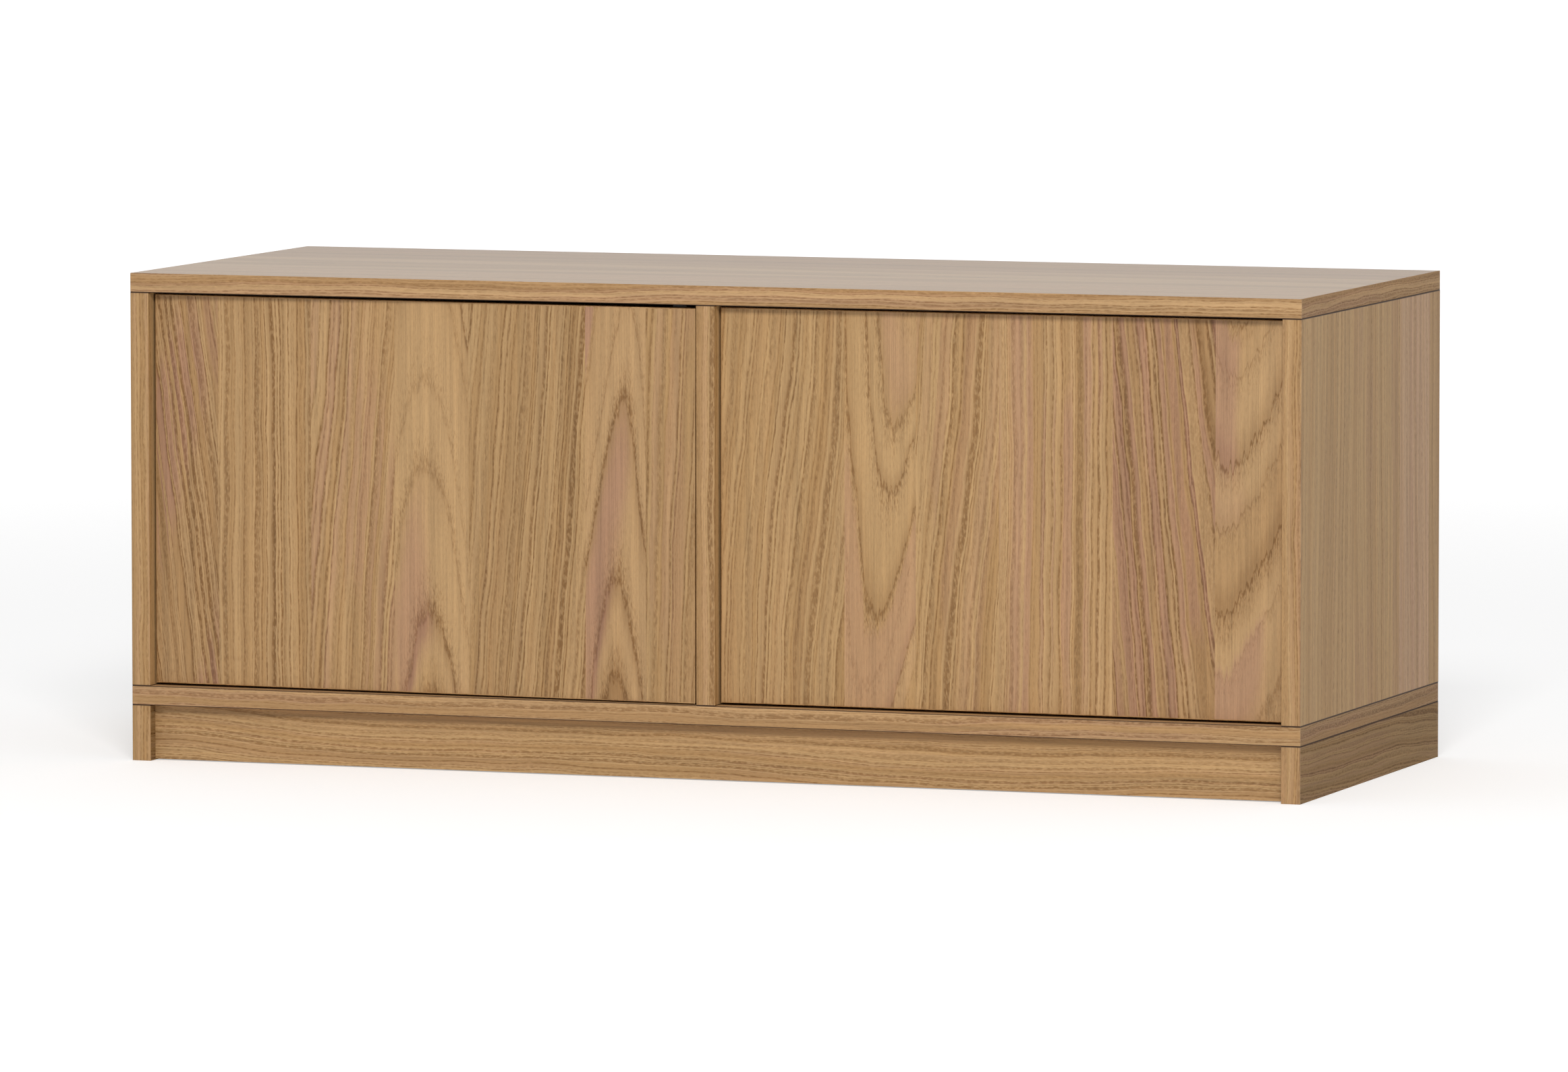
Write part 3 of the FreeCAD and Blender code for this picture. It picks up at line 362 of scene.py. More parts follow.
# How far each whole ring of the phase shifts the noise, so that no two leaves are alike
SEED_STEP = 13.7

# Painted shade in a seam, standing in for the shadow in the gap between two boards, is darkest up to the first
# distance from its middle, and gone at the second
SEAM_REACH = (0.0004, 0.0011)

# Chips of the core: cells per metre, the share of the fine ones, and how they and their gaps set in
COARSE_CHIPS = 330.0
FINE_CHIPS = 900.0
FINE_SHARE = 0.4
CHIP_SHADES = (0.15, 0.95)
CHIP_GAPS = (0.55, 0.95)
GAP_SHADE = 0.5

SHEEN_ROUGHNESS = 0.55

# Axes across, along and through the veneer, by the grain's axis and the one that the leaves span
GRAIN = {
    "Z over X": (X, Z, Y),
    "Z over Y": (Y, Z, X),
    "X over Y": (Y, X, Z),
    "X over Z": (Z, X, Y),
    "Y over Z": (Z, Y, X),
}


class Leaf(NamedTuple):
    """One strip of veneer, and how it was sliced from the log."""

    joint: float            # where the leaf starts, across the grain
    heart: float            # where the middle of the log lies, across the grain
    cut: float = 0.02       # distance of the slice from the middle of the log
    taper: float = 0.0      # how fast the rings close along the grain
    lean: float = 0.0       # slope of the grain
    ring: float = 0.0045    # width of a growth ring
    phase: float = 0.0      # shift of the rings, in rings
    pink: float = 0.2       # strength of the flushed streaks
    contrast: float = 0.9   # strength of the growth lines
    wander: float = 1.0     # strength of the slow bends and frayed tips
    tone: tuple = (1.0, 1.0, 1.0)    # tint of the whole leaf


def oak_figure(oak):
    """Growth rings, pores and fibres of sliced oak, as a group of nodes."""
    group = bpy.data.node_groups.new("oak figure", "ShaderNodeTree")
    for name in ("Place", "Slice", "Lay", "Finish"):
        group.interface.new_socket(name, in_out="INPUT", socket_type="NodeSocketVector")
    group.interface.new_socket("Colour", in_out="OUTPUT", socket_type="NodeSocketColor")
    group.interface.new_socket("Height", in_out="OUTPUT", socket_type="NodeSocketFloat")
    recipe = Recipe(group)
    given = recipe.add("NodeGroupInput").outputs
    across, along = recipe.split(given["Place"])[:2]
    heart, cut, taper = recipe.split(given["Slice"])
    lean, ring_width, phase = recipe.split(given["Lay"])
    pink, contrast, wander = recipe.split(given["Finish"])
    seed = recipe.times(recipe.math("FLOOR", phase), SEED_STEP)
    place = recipe.vector("ADD", given["Place"], recipe.combine(seed, seed, seed))

    # Distance from the heart of the log, with the wandering of the grain
    side = recipe.minus(recipe.minus(across, heart), recipe.times(lean, along))
    side = recipe.plus(side, recipe.times(recipe.sway(place, SLOW_BENDS), wander), BEND_REACH)
    side = recipe.plus(side, recipe.sway(place, SHORT_WAVES), WAVE_REACH)
    side = recipe.plus(side, recipe.sway(place, FINE_SHAKE), SHAKE_REACH)
    frayed = recipe.plus(along, recipe.times(recipe.sway(place, FRAYED_TIPS), wander), FRAY_REACH)

    # Rings are cones about the heart of the log, cut by the face of the veneer
    reach = recipe.math("ADD", recipe.math("POWER", side, 2.0), recipe.math("POWER", cut, 2.0))
    reach = recipe.plus(recipe.math("SQRT", reach), taper, frayed)
    rings = recipe.math("ADD", recipe.math("DIVIDE", reach, ring_width), phase)
    uneven = recipe.minus(recipe.line_noise(rings, *RING_WIDTHS), 0.5)
    rings = recipe.plus(rings, uneven, RING_UNEVENNESS)
    ring = recipe.math("FLOOR", rings)
    share = recipe.minus(rings, ring)
    beyond = recipe.times(recipe.minus(share, LINE_SHARE), ring_width)
    weight = recipe.math("POWER", recipe.random(recipe.math("ADD", ring, seed)), FAINTNESS)

    # Late wood darkens up to the growth line; past it lies the porous wood of the next spring
    past = recipe.rise(beyond, -EDGE_SOFTNESS, EDGE_SOFTNESS)
    late = recipe.times(recipe.rise(share, 0.0, LINE_SHARE), recipe.minus(1.0, past), weight)
    spring = recipe.times(recipe.fall(share, LINE_SHARE, SPRING_END), past, recipe.plus(0.3, weight, 0.6))
    broken = recipe.rise(recipe.noise(place, BROKEN_LINES, detail=1.0), *WHOLE_LINES)
    line = recipe.times(
        recipe.rise(beyond, LINE_START * oak.line_width, 0.0),
        recipe.fall(beyond, *(end * oak.line_width for end in LINE_FADE)),
        recipe.plus(0.15, weight, 0.85),
        recipe.plus(0.3, broken, 0.75),
    )

    # Pores, fibres, long streaks and the grit of the cut pores
    pore_stretch = (1.0 / oak.pore_width, 1.0 / oak.pore_length, 1.0 / oak.pore_width)
    pores = recipe.rise(recipe.noise(place, pore_stretch, detail=1.0), *PORES)
    pores = recipe.times(pores, recipe.plus(0.16, spring, 0.9))
    fibres = recipe.sway(place, FIBRES, detail=2.0)
    streaks = recipe.sway(place, STREAKS, detail=1.0)
    grit = recipe.times(recipe.sway(place, GRIT, detail=1.0), recipe.plus(0.15, spring, 0.5))

    # Colour: paler and darker rings, flushed patches, and the lines and pores over them
    tone = recipe.rise(recipe.line_noise(rings, *RING_TONES), *DARKER_RINGS)
    tone = recipe.times(tone, recipe.math("MINIMUM", contrast, MOST_TONE))
    flush = recipe.times(
        recipe.rise(recipe.line_noise(rings, *RING_FLUSHES), *FLUSHED_RINGS),
        recipe.rise(recipe.noise(place, FLUSH_PATCHES), *FLUSHED_WOOD),
        recipe.plus(0.7, late, 0.5),
    )
    flush = recipe.math("MULTIPLY", flush, pink, clamp=True)
    shade = recipe.mix(tone, oak.light, oak.middle)
    shade = recipe.mix(flush, shade, oak.pink)
    deep = recipe.mix(flush, oak.dark, oak.pink_dark)
    for mask, tint in ((late, LATE_TINT), (spring, SPRING_TINT), (line, LINE_TINT)):
        strength = recipe.math("MULTIPLY", mask, contrast, clamp=True)
        shade = recipe.mix(recipe.times(strength, tint), shade, deep)
    shade = recipe.mix(recipe.times(pores, PORE_TINT), shade, deep)
    level = recipe.plus(recipe.plus(1.0, fibres, FIBRE_SHADE), streaks, STREAK_SHADE)
    shade = recipe.scaled(shade, recipe.math("ADD", level, grit))

    height = recipe.plus(recipe.minus(1.0, pores), fibres, FIBRE_RELIEF)
    height = recipe.plus(height, line, LINE_RELIEF)
    out = recipe.add("NodeGroupOutput")
    recipe.fill(out, {"Colour": shade, "Height": height})
    return group


def leaf_vectors(leaf):
    """The slice, lay, finish and tone of a leaf."""
    return [
        (leaf.heart, leaf.cut, leaf.taper),
        (leaf.lean, leaf.ring, leaf.phase),
        (leaf.pink, leaf.contrast, leaf.wander),
        leaf.tone,
    ]


def chosen_leaf(recipe, across, leaves):
    """The vectors of the leaf that a point lies in."""
    chosen = leaf_vectors(leaves[0])
    for leaf in leaves[1:]:
        beyond = recipe.math("GREATER_THAN", across, leaf.joint)
        pairs = zip(chosen, leaf_vectors(leaf))
        chosen = [recipe.mix(beyond, old, new, kind="VECTOR") for old, new in pairs]
    return chosen


def chip_core(recipe, shade, depth, middles, oak):
    """Pressed chips where a raw edge or a bore cuts into a board, about the boards' middle planes."""
    inside = 0.0
    for middle in middles:
        off = recipe.math("ABSOLUTE", recipe.minus(depth, middle))
        inside = recipe.math("MAXIMUM", inside, recipe.math("LESS_THAN", off, BOARD / 2 - VENEER))
    place = recipe.object_place()
    coarse, off_middle = recipe.chips(place, COARSE_CHIPS)
    fine = recipe.chips(place, FINE_CHIPS)[0]
    blend = recipe.plus(recipe.times(fine, FINE_SHARE), coarse, 1.0 - FINE_SHARE)
    chips = recipe.mix(recipe.rise(blend, *CHIP_SHADES), oak.core_dark, oak.core)
    gaps = recipe.times(recipe.rise(off_middle, *CHIP_GAPS), GAP_SHADE)
    return recipe.mix(inside, shade, recipe.mix(gaps, chips, oak.core_dark))


def painted_seam_shade(recipe, shade, height, oak):
    """A thin line of painted shade where two boards meet, standing in for the shadow in the gap between them."""
    near = 0.0
    for level in SEAM_LEVELS:
        off = recipe.math("ABSOLUTE", recipe.minus(height, level))
        near = recipe.math("MAXIMUM", near, recipe.fall(off, *SEAM_REACH))
    return recipe.mix(near, shade, oak.seam)


def veneer(
    names, title, grain, leaves, tint=None, gloss=1.0, sheen=0.0, cored=False, slant=0.0, seams=False,
):
    """Oak veneer on some boards, in leaves side by side; slant is the slope of boards that stand askew, and seams
    adds painted shade along the joints.
    """
    oak = bpy.context.scene.cabinet_oak
    material, recipe, shader = new_material(title)
    place = recipe.split(recipe.object_place())
    axes = GRAIN[grain]
    across, along, depth = (place[axis] for axis in axes)
    figure = recipe.add("ShaderNodeGroup")
    figure.node_tree = bpy.data.node_groups.get("oak figure") or oak_figure(oak)
    *lay, tone = chosen_leaf(recipe, across, leaves)
    for socket, value in zip(figure.inputs, (recipe.combine(across, along, depth), *lay)):
        recipe.feed(socket, value)
    shade = recipe.vector("MULTIPLY", figure.outputs["Colour"], tone)
    if tint:
        shade = recipe.vector("MULTIPLY", shade, tint)
    if cored:
        centres = [middle_of(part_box(name)) for name in names]
        middles = [centre[axes[2]] + slant * centre[axes[0]] for centre in centres]
        shade = chip_core(recipe, shade, recipe.plus(depth, across, slant), middles, oak)
    # Painted shade along the seams between boards
    if seams:
        shade = painted_seam_shade(recipe, shade, place[Z], oak)
    recipe.fill(shader, {
        "Base Color": shade,
        "Roughness": oak.roughness,
        "Specular IOR Level": gloss * oak.gloss,
        "Coat Weight": sheen,
        "Coat Roughness": SHEEN_ROUGHNESS,
    })
    recipe.relief(shader, figure.outputs["Height"], strength=0.35, distance=0.00012)
    finish(names, material)


# Finishes of the fittings

# Noise, in cycles per metre
BEECH_STREAKS = (160.0, 160.0, 9.0)
BEECH_FLECKS = (1500.0, 1500.0, 420.0)
METAL_CLOUDS = 260.0
METAL_SCRATCHES = (3200.0, 500.0, 1500.0)
CAST_GRAIN = 4200.0
PLASTIC_CLOUDS = 90.0
MOULD_TEXTURE = 3000.0

# The levels of noise between which a fleck sets in, and its strength
FLECKED = (0.62, 0.70)
FLECK_TINT = 0.5


def beech_wood(fittings):
    """Bare beech: a plain warm wood with short dark flecks along the grain."""
    material, recipe, shader = new_material("beech")
    place = recipe.object_place()
    streaks = recipe.noise(place, BEECH_STREAKS, detail=3.0)
    flecks = recipe.rise(recipe.noise(place, BEECH_FLECKS), *FLECKED)
    shade = recipe.scaled(fittings.beech[:3], recipe.plus(0.75, streaks, 0.5))
    shade = recipe.mix(recipe.times(flecks, FLECK_TINT), shade, fittings.beech_fleck)
    recipe.fill(shader, {"Base Color": shade, "Roughness": 0.62})
    recipe.relief(shader, streaks, strength=0.3, distance=0.0001)
    return material


def plated(name, tint, roughness, pitted=0.0):
    """Plated or cast metal; the sheen is a little uneven, as tumbled parts are."""
    material, recipe, shader = new_material(name)
    place = recipe.object_place()
    cloudy = recipe.noise(place, METAL_CLOUDS, detail=2.0)
    scratches = recipe.noise(place, METAL_SCRATCHES, detail=1.0)
    height = recipe.noise(place, CAST_GRAIN, detail=1.0) if pitted else scratches
    shade = recipe.scaled(tint[:3], recipe.plus(0.88, cloudy, 0.24))
    rough = recipe.plus(recipe.plus(roughness - 0.08, scratches, 0.16), cloudy, 0.06)
    recipe.fill(shader, {"Base Color": shade, "Metallic": 1.0, "Roughness": rough})
    recipe.relief(shader, height, strength=0.12 + pitted, distance=0.00006)
    return material


def moulded(name, tint):
    """Matte plastic with the fine texture of its mould."""
    material, recipe, shader = new_material(name)
    place = recipe.object_place()
    cloudy = recipe.noise(place, PLASTIC_CLOUDS, detail=2.0)
    texture = recipe.noise(place, MOULD_TEXTURE, detail=2.0)
    shade = recipe.scaled(tint[:3], recipe.plus(0.95, cloudy, 0.10))
    recipe.fill(shader, {"Base Color": shade, "Roughness": recipe.plus(0.42, texture, 0.14)})
    recipe.relief(shader, texture, strength=0.25, distance=0.00005)
    return material


# Modelling

SHARP_ANGLE = math.radians(38.0)
SMOOTH_ANGLE = math.radians(32.0)
FLAT_ANGLE = math.radians(0.3)
MERGE_DISTANCE = 0.000005
LEVEL_WITH_TOP = -0.00001

# How nearly an edge has to run along an axis, a point lie at an end, and a face look up or down
ALONG = 0.99
AT_END = 0.98
LEVEL = 0.9

# Turn from each screw to the next
GOLDEN_ANGLE = math.pi * (3 - math.sqrt(5))


def only(piece):
    """Leave one piece selected, as the active one."""
    bpy.ops.object.select_all(action="DESELECT")
    piece.select_set(True)
    bpy.context.view_layer.objects.active = piece


@contextmanager
def editing(piece):
    """Edit mode on one piece."""
    only(piece)
    bpy.ops.object.mode_set(mode="EDIT")
    yield
    bpy.ops.object.mode_set(mode="OBJECT")


def choose(piece, kind, test):
    """Select the edges or faces that pass a test, and nothing else."""
    bpy.ops.mesh.select_mode(type={"edges": "EDGE", "faces": "FACE"}[kind])
    bpy.ops.mesh.select_all(action="DESELECT")
    shape = bmesh.from_edit_mesh(piece.data)
    for item in getattr(shape, kind):
        if test(item):
            item.select_set(True)
    shape.select_flush_mode()
    bmesh.update_edit_mesh(piece.data)


def faces_up(face):
    return face.normal.z > LEVEL


def faces_down(face):
    return face.normal.z < -LEVEL


def pull(height):
    """Extrude what is selected along Z."""
    bpy.ops.mesh.extrude_region_move(TRANSFORM_OT_translate={"value": (0.0, 0.0, height)})


def primitive(add, **shape):
    """A new primitive, with its place in its mesh."""
    bpy.ops.object.select_all(action="DESELECT")
    add(**shape)
    bpy.ops.object.transform_apply(location=True, rotation=True, scale=True)
    return bpy.context.object


def linked(name, mesh):
    piece = bpy.data.objects.new(name, mesh)
    bpy.context.collection.objects.link(piece)
    return piece


def merged_copy(node_name, name):
    """A copy of a node with its triangles merged and its flat faces whole."""
    piece = linked(name, nodes[node_name].data.copy())
    with editing(piece):
        bpy.ops.mesh.select_mode(type="VERT")
        bpy.ops.mesh.select_all(action="SELECT")
        bpy.ops.mesh.remove_doubles(threshold=MERGE_DISTANCE)
        bpy.ops.mesh.dissolve_limited(angle_limit=FLAT_ANGLE)
    return piece


def box_of(piece):
    """Low and high corners of a piece."""
    corners = [Vector(corner) for corner in piece.bound_box]
    return Vector(map(min, *corners)), Vector(map(max, *corners))


def solid_boxes(node_name):
    """The box of each solid in a node."""
    only(merged_copy(node_name, "spots"))
    bpy.ops.mesh.separate(type="LOOSE")
    boxes = [box_of(part) for part in bpy.context.selected_objects]
    bpy.ops.object.delete()
    return sorted(boxes, key=lambda box: tuple(round(value, 4) for value in box[0]))


def middle_of(box):
    return (box[0] + box[1]) / 2


def at_ends(piece, axis):
    """A test for points at either end of a piece along one axis."""
    box = box_of(piece)
    near_end = AT_END * (box[1][axis] - box[0][axis]) / 2
    return lambda point: abs(point[axis] - middle_of(box)[axis]) > near_end


def round_corners(piece, axis, test, radius):
    """Round the corner edges that run along one axis and pass a test on their middle."""
    def is_corner(edge):
        first, last = (vertex.co for vertex in edge.verts)
        run = last - first
        return abs(run[axis]) > ALONG * run.length and test((first + last) / 2)

    with editing(piece):
        choose(piece, "edges", is_corner)
        bpy.ops.mesh.bevel(offset=radius, segments=6, affect="EDGES")


def shade_smooth(piece):
    """Smooth shading, apart from the sharp edges."""
    only(piece)
    bpy.ops.object.shade_smooth_by_angle(angle=SMOOTH_ANGLE)


def modified(piece, kind, **settings):
    """Put a modifier on a piece and apply it."""
    modifier = piece.modifiers.new(kind.lower(), kind)
    for name, value in settings.items():
        setattr(modifier, name, value)
    only(piece)
    bpy.ops.object.modifier_apply(modifier=modifier.name)


def eased(piece, width, segments=2):
    """Round every sharp edge a little, and shade the rest smooth."""
    modified(
        piece, "BEVEL", limit_method="ANGLE", angle_limit=SHARP_ANGLE, width=width, segments=segments,
        use_clamp_overlap=True,
    )
    shade_smooth(piece)


def cut_away(piece, cutter):
    modified(piece, "BOOLEAN", operation="DIFFERENCE", solver="EXACT", object=cutter)
    bpy.data.objects.remove(cutter)


def stand_for(piece, node_name, material):
    """The piece takes a node's place: its body and its material."""
    piece.data.materials.clear()
    piece.data.materials.append(material)
    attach(piece, BODY_OF[node_name])
    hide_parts(node_name)


def shaped(node_name, ending, material, shape):
    """A merged copy of a node is shaped, and takes its place."""
    piece = merged_copy(node_name, f"{node_name}_{ending}")
    shape(piece)
    stand_for(piece, node_name, material)


# Screws, and other fittings that are set at a spot

# Widths of a recess's floor and of a screw's point, as shares of where they start
RECESS_TAPER = 0.45
POINT_TAPER = 0.15

# Rounding, as a share of a pan head's height and of a slot's width
HEAD_ROUNDING = 0.55
SLOT_ROUNDING = 0.495

# Share of a strike plate's radius that lies outside its ring
RING_SHARE = 0.32


class Spot(NamedTuple):
    """Where a fitting is set: the middle of its outer face, and the way that it faces."""

    point: Vector
    facing: Vector
    length: float = 0.0     # of the fitting that is there
    width: float = 0.0      # across its face


def screw_spots(node_name, facing_of):
    """The spots of a node's screws; facing_of gives the way that a head faces."""
    spots = []
    for box in solid_boxes(node_name):
        middle = middle_of(box)
        facing = facing_of(middle)
        size = box[1] - box[0]
        along = max((X, Y, Z), key=lambda axis: abs(facing[axis]))
        width = min(size[axis] for axis in (X, Y, Z) if axis != along)
        spots.append(Spot(middle + facing * size[along] / 2, facing, size[along], width))
    return spots


def set_of(model, name, spots):
    """A copy of a model at each spot, as one piece; the model's top is at the origin and faces up."""
    copies = []
    for count, spot in enumerate(spots):
        copy = linked(name, model.data.copy())
        upright = spot.facing.to_track_quat("Z", "Y").to_matrix().to_4x4()
        turn = Matrix.Rotation(GOLDEN_ANGLE * count, 4, "Z")
        copy.matrix_world = Matrix.Translation(spot.point) @ upright @ turn
        copies.append(copy)
    bpy.data.objects.remove(model)
    only(copies[0])
    for copy in copies:
        copy.select_set(True)
    bpy.ops.object.join()
    bpy.ops.object.transform_apply(location=True, rotation=True, scale=True)
    shade_smooth(copies[0])
    return copies[0]


def drive_recess(screw, span, width, depth):
    """Cut a tapered cross into the top of a head."""
    for turn in (0.0, math.radians(90.0)):
        cutter = primitive(
            bpy.ops.mesh.primitive_cube_add, size=1.0, location=(0.0, 0.0, 0.0),
            rotation=(0.0, 0.0, turn), scale=(span, width, 2 * depth),
        )
        with editing(cutter):
            choose(cutter, "faces", faces_down)
            bpy.ops.transform.resize(value=(RECESS_TAPER, RECESS_TAPER, 1.0))
        cut_away(screw, cutter)


def flat_screw(head_radius, length, recess, shank):
    """Countersunk screw that points down, with its head's face at the origin."""
    head = head_radius - shank + SCREW_RIM
    tip = 2.0 * shank
    screw = primitive(
        bpy.ops.mesh.primitive_cone_add, vertices=32, radius1=shank, radius2=head_radius, depth=head,
        location=(0.0, 0.0, -head / 2),
    )
    with editing(screw):
        choose(screw, "faces", faces_down)
        pull(head + tip - length)
        pull(-tip)
        bpy.ops.transform.resize(value=(POINT_TAPER, POINT_TAPER, 1.0))
    drive_recess(screw, span=1.25 * head_radius, width=recess, depth=0.0012)
    return screw


def round_screw(head_radius, length, recess, shank, head):
    """Pan-head screw that points down, with the top of its head at the origin."""
    screw = primitive(
        bpy.ops.mesh.primitive_cylinder_add, vertices=40, radius=head_radius, depth=head,
        location=(0.0, 0.0, -head / 2),
    )
    with editing(screw):
        choose(screw, "faces", faces_down)
        bpy.ops.mesh.inset(thickness=head_radius - shank)
        pull(head - length)
        choose(screw, "edges", lambda edge: all(vertex.co.z > LEVEL_WITH_TOP for vertex in edge.verts))
        bpy.ops.mesh.bevel(offset=HEAD_ROUNDING * head, segments=5, affect="EDGES")
    drive_recess(screw, span=1.15 * head_radius, width=recess, depth=0.0011)
    return screw


def towards_middle(point):
    """The way from a side board to the middle of the cabinet."""
    return Vector((-math.copysign(1.0, point.x), 0.0, 0.0))


# Veneer leaves, as the boards show them

LEFT_DOOR_LEAVES = [
    Leaf(-0.579, heart=-1.000, lean=-0.13, ring=0.0037, phase=0.3, pink=1.3, contrast=1.5, wander=0.5,
         tone=(0.94, 0.93, 0.93)),
    Leaf(-0.512, heart=-0.650, ring=0.0044, phase=1.1, pink=0.0, contrast=1.15, wander=0.4),
    Leaf(-0.4135, heart=-0.560, lean=0.08, ring=0.0050, phase=2.6, pink=0.7, contrast=1.0),
    Leaf(-0.325, heart=-0.288, cut=0.0500, taper=0.095, lean=-0.02, ring=0.0110, phase=19.50, pink=1.1),
    Leaf(-0.2475, heart=-0.400, lean=0.09, ring=0.0048, phase=4.7, pink=0.1, contrast=1.1,
         tone=(0.93, 0.93, 0.91)),
    Leaf(-0.1255, heart=-0.0976, cut=0.0192, taper=0.0954, lean=0.03, ring=0.0135, phase=22.59, pink=1.4,
         contrast=1.3, tone=(0.95, 0.94, 0.95)),
    Leaf(-0.0626, heart=-0.200, lean=0.04, ring=0.0052, phase=6.9, pink=0.5, tone=(0.93, 0.93, 0.91)),
]
RIGHT_DOOR_LEAVES = [
    Leaf(0.0115, heart=-0.150, lean=0.08, ring=0.0052, phase=7.4, pink=0.1, tone=(0.97, 0.97, 0.94)),
    Leaf(0.138, heart=0.143, cut=0.020, taper=-0.17, lean=0.14, ring=0.016, phase=29.06, pink=0.8,
         tone=(0.98, 0.98, 0.96)),
    Leaf(0.2105, heart=0.020, lean=0.09, ring=0.0046, phase=8.2, pink=0.5, tone=(0.98, 0.98, 0.96)),
    Leaf(0.2947, heart=0.100, ring=0.0044, phase=9.5, pink=1.0, wander=0.5, tone=(1.01, 1.01, 1.02)),
    Leaf(0.4087, heart=0.535, cut=0.05, taper=-0.10, lean=0.02, ring=0.0038, phase=10.1, pink=1.2,
         contrast=1.5, wander=0.4, tone=(0.90, 0.88, 0.88)),
    Leaf(0.5113, heart=0.522, cut=0.012, taper=-0.42, lean=0.03, ring=0.030, phase=34.47, pink=1.1,
         contrast=1.4, tone=(0.96, 0.96, 0.98)),
]
SIDE_LEAVES = [
    Leaf(-0.23, heart=-0.60, lean=0.02, ring=0.0055, phase=12.3, pink=0.1, contrast=0.45, wander=0.8),
    Leaf(-0.06, heart=-0.40, lean=-0.02, ring=0.0050, phase=13.1, pink=0.4, contrast=0.50, wander=0.8),
    Leaf(0.095, heart=-0.10, lean=-0.03, ring=0.0045, phase=14.8, pink=0.35, contrast=0.45, wander=0.5,
         tone=(1.10, 1.12, 1.42)),
    Leaf(0.195, heart=0.0, lean=-0.03, ring=0.0040, phase=24.8, pink=0.15, contrast=0.6, wander=0.5,
         tone=(0.95, 0.94, 0.95)),
]
# The front leaf is paler and bluer and the back leaf darker and warmer: a painted reflection, for the sheen that
# fades from the front of the top to its back; the shelves and the bottom board share these leaves
TOP_LEAVES = [
    Leaf(-0.23, heart=-0.40, ring=0.0040, phase=15.2, pink=0.2, contrast=0.5, tone=(1.07, 1.06, 1.08)),
    Leaf(-0.10, heart=-0.02, cut=0.012, taper=0.05, ring=0.010, phase=16.5, pink=0.2, contrast=0.6),
    Leaf(0.07, heart=-0.10, ring=0.0042, phase=17.3, pink=0.3, contrast=0.5, tone=(0.85, 0.80, 0.74)),
]
BAND_LEAVES = [
    Leaf(0.0, heart=-0.30, ring=0.0030, lean=0.006, phase=18.4, pink=0.4, contrast=0.8, wander=0.5),
]
POST = Leaf(0.0, heart=-0.80, ring=0.0036, phase=19.6, pink=0.4, contrast=0.7, wander=0.3)
POST_LEAVES = [
    POST._replace(tone=(0.98, 0.97, 0.95)),
    POST._replace(joint=0.5, tone=(1.05, 1.06, 1.09)),
]
KICK_LEAVES = [
    Leaf(0.0, heart=-0.20, lean=-0.01, ring=0.0027, phase=33.3, pink=0.2, contrast=0.8, wander=1.3),
]
PLINTH_LEAVES = [
    Leaf(0.0, heart=-0.20, lean=-0.03, ring=0.0036, phase=21.7, pink=0.5, contrast=1.2, wander=0.8),
]


# Steps: the boards

class CABINET_OT_doors(bpy.types.Operator):
    """Veneer both door leaves, with the grain upright"""

    bl_idname = "cabinet.doors"
    bl_label = "Doors"

    def execute(self, context):
        veneer(
            ["left_door"], "left door veneer", "Z over X", LEFT_DOOR_LEAVES, cored=True,
            slant=math.tan(AJAR),
        )
        veneer(["right_door"], "right door veneer", "Z over X", RIGHT_DOOR_LEAVES, cored=True)
        bands = ["left_door_edge_bands", "right_door_edge_bands"]
        veneer(bands, "door edge band", "Z over Y", POST_LEAVES)
        return {"FINISHED"}


class CABINET_OT_carcass(bpy.types.Operator):
    """Veneer the top, the bottom, the sides, the divider, the shelves and the back"""

    bl_idname = "cabinet.carcass"
    bl_label = "Carcass boards"

    def execute(self, context):
        # The top's darker, greyer tint is partly painted shade, for the less direct light on the top, and partly
        # the top veneer's own greyer tone
        veneer(
            ["top_board"], "top veneer", "X over Y", TOP_LEAVES, tint=(0.74, 0.76, 0.79), sheen=0.88,
            cored=True,
        )
        flat_boards = ["bottom_board", "left_shelf", "right_shelf"]
        veneer(flat_boards, "shelf veneer", "X over Y", TOP_LEAVES, cored=True)
        uprights = ["left_side", "divider", "right_side"]
        veneer(
            uprights, "side veneer", "Z over Y", SIDE_LEAVES, tint=(0.96, 0.97, 0.94), gloss=0.3,
            cored=True, seams=True,
        )
        veneer(["back_panel"], "back panel veneer", "Z over X", RIGHT_DOOR_LEAVES[:3])
        return {"FINISHED"}


class CABINET_OT_edge_bands(bpy.types.Operator):
    """Band the front and end edges of the boards"""

    bl_idname = "cabinet.edge_bands"
    bl_label = "Edge bands"

    def execute(self, context):
        fronts = ["top_front_band", "bottom_front_band", "shelf_front_bands"]
        veneer(fronts, "front band", "X over Z", BAND_LEAVES, tint=(1.03, 1.03, 1.07), seams=True)
        veneer(
            ["top_left_band", "top_right_band"], "upper end band", "Y over Z", BAND_LEAVES,
            tint=(0.89, 0.88, 0.89), gloss=0.15, seams=True,
        )
        # The lower end bands take a darker tint than the upper ones: painted shade, as the lower parts get less
        # light
        veneer(
            ["bottom_left_band", "bottom_right_band"], "lower end band", "Y over Z", BAND_LEAVES,
            tint=(0.78, 0.77, 0.78), gloss=0.15, seams=True,
        )
        uprights = ["left_side_band", "right_side_band", "divider_band", "plinth_front_bands"]
        veneer(uprights, "upright band", "Z over X", POST_LEAVES, seams=True)
        return {"FINISHED"}


class CABINET_OT_plinth(bpy.types.Operator):
    """Veneer the plinth boards"""

    bl_idname = "cabinet.plinth"
    bl_label = "Plinth"

    def execute(self, context):
        ends = ["plinth_left_side", "plinth_brace", "plinth_right_side"]
        veneer(
            ends, "plinth side veneer", "Y over Z", PLINTH_LEAVES, tint=(0.66, 0.66, 0.62), gloss=0.1,
            cored=True, seams=True,
        )
        rails = ["kick_board", "plinth_rear_rail"]
        veneer(rails, "kick board veneer", "X over Z", KICK_LEAVES, tint=(1.06, 1.08, 1.09), cored=True)
        return {"FINISHED"}


# Steps: the fittings

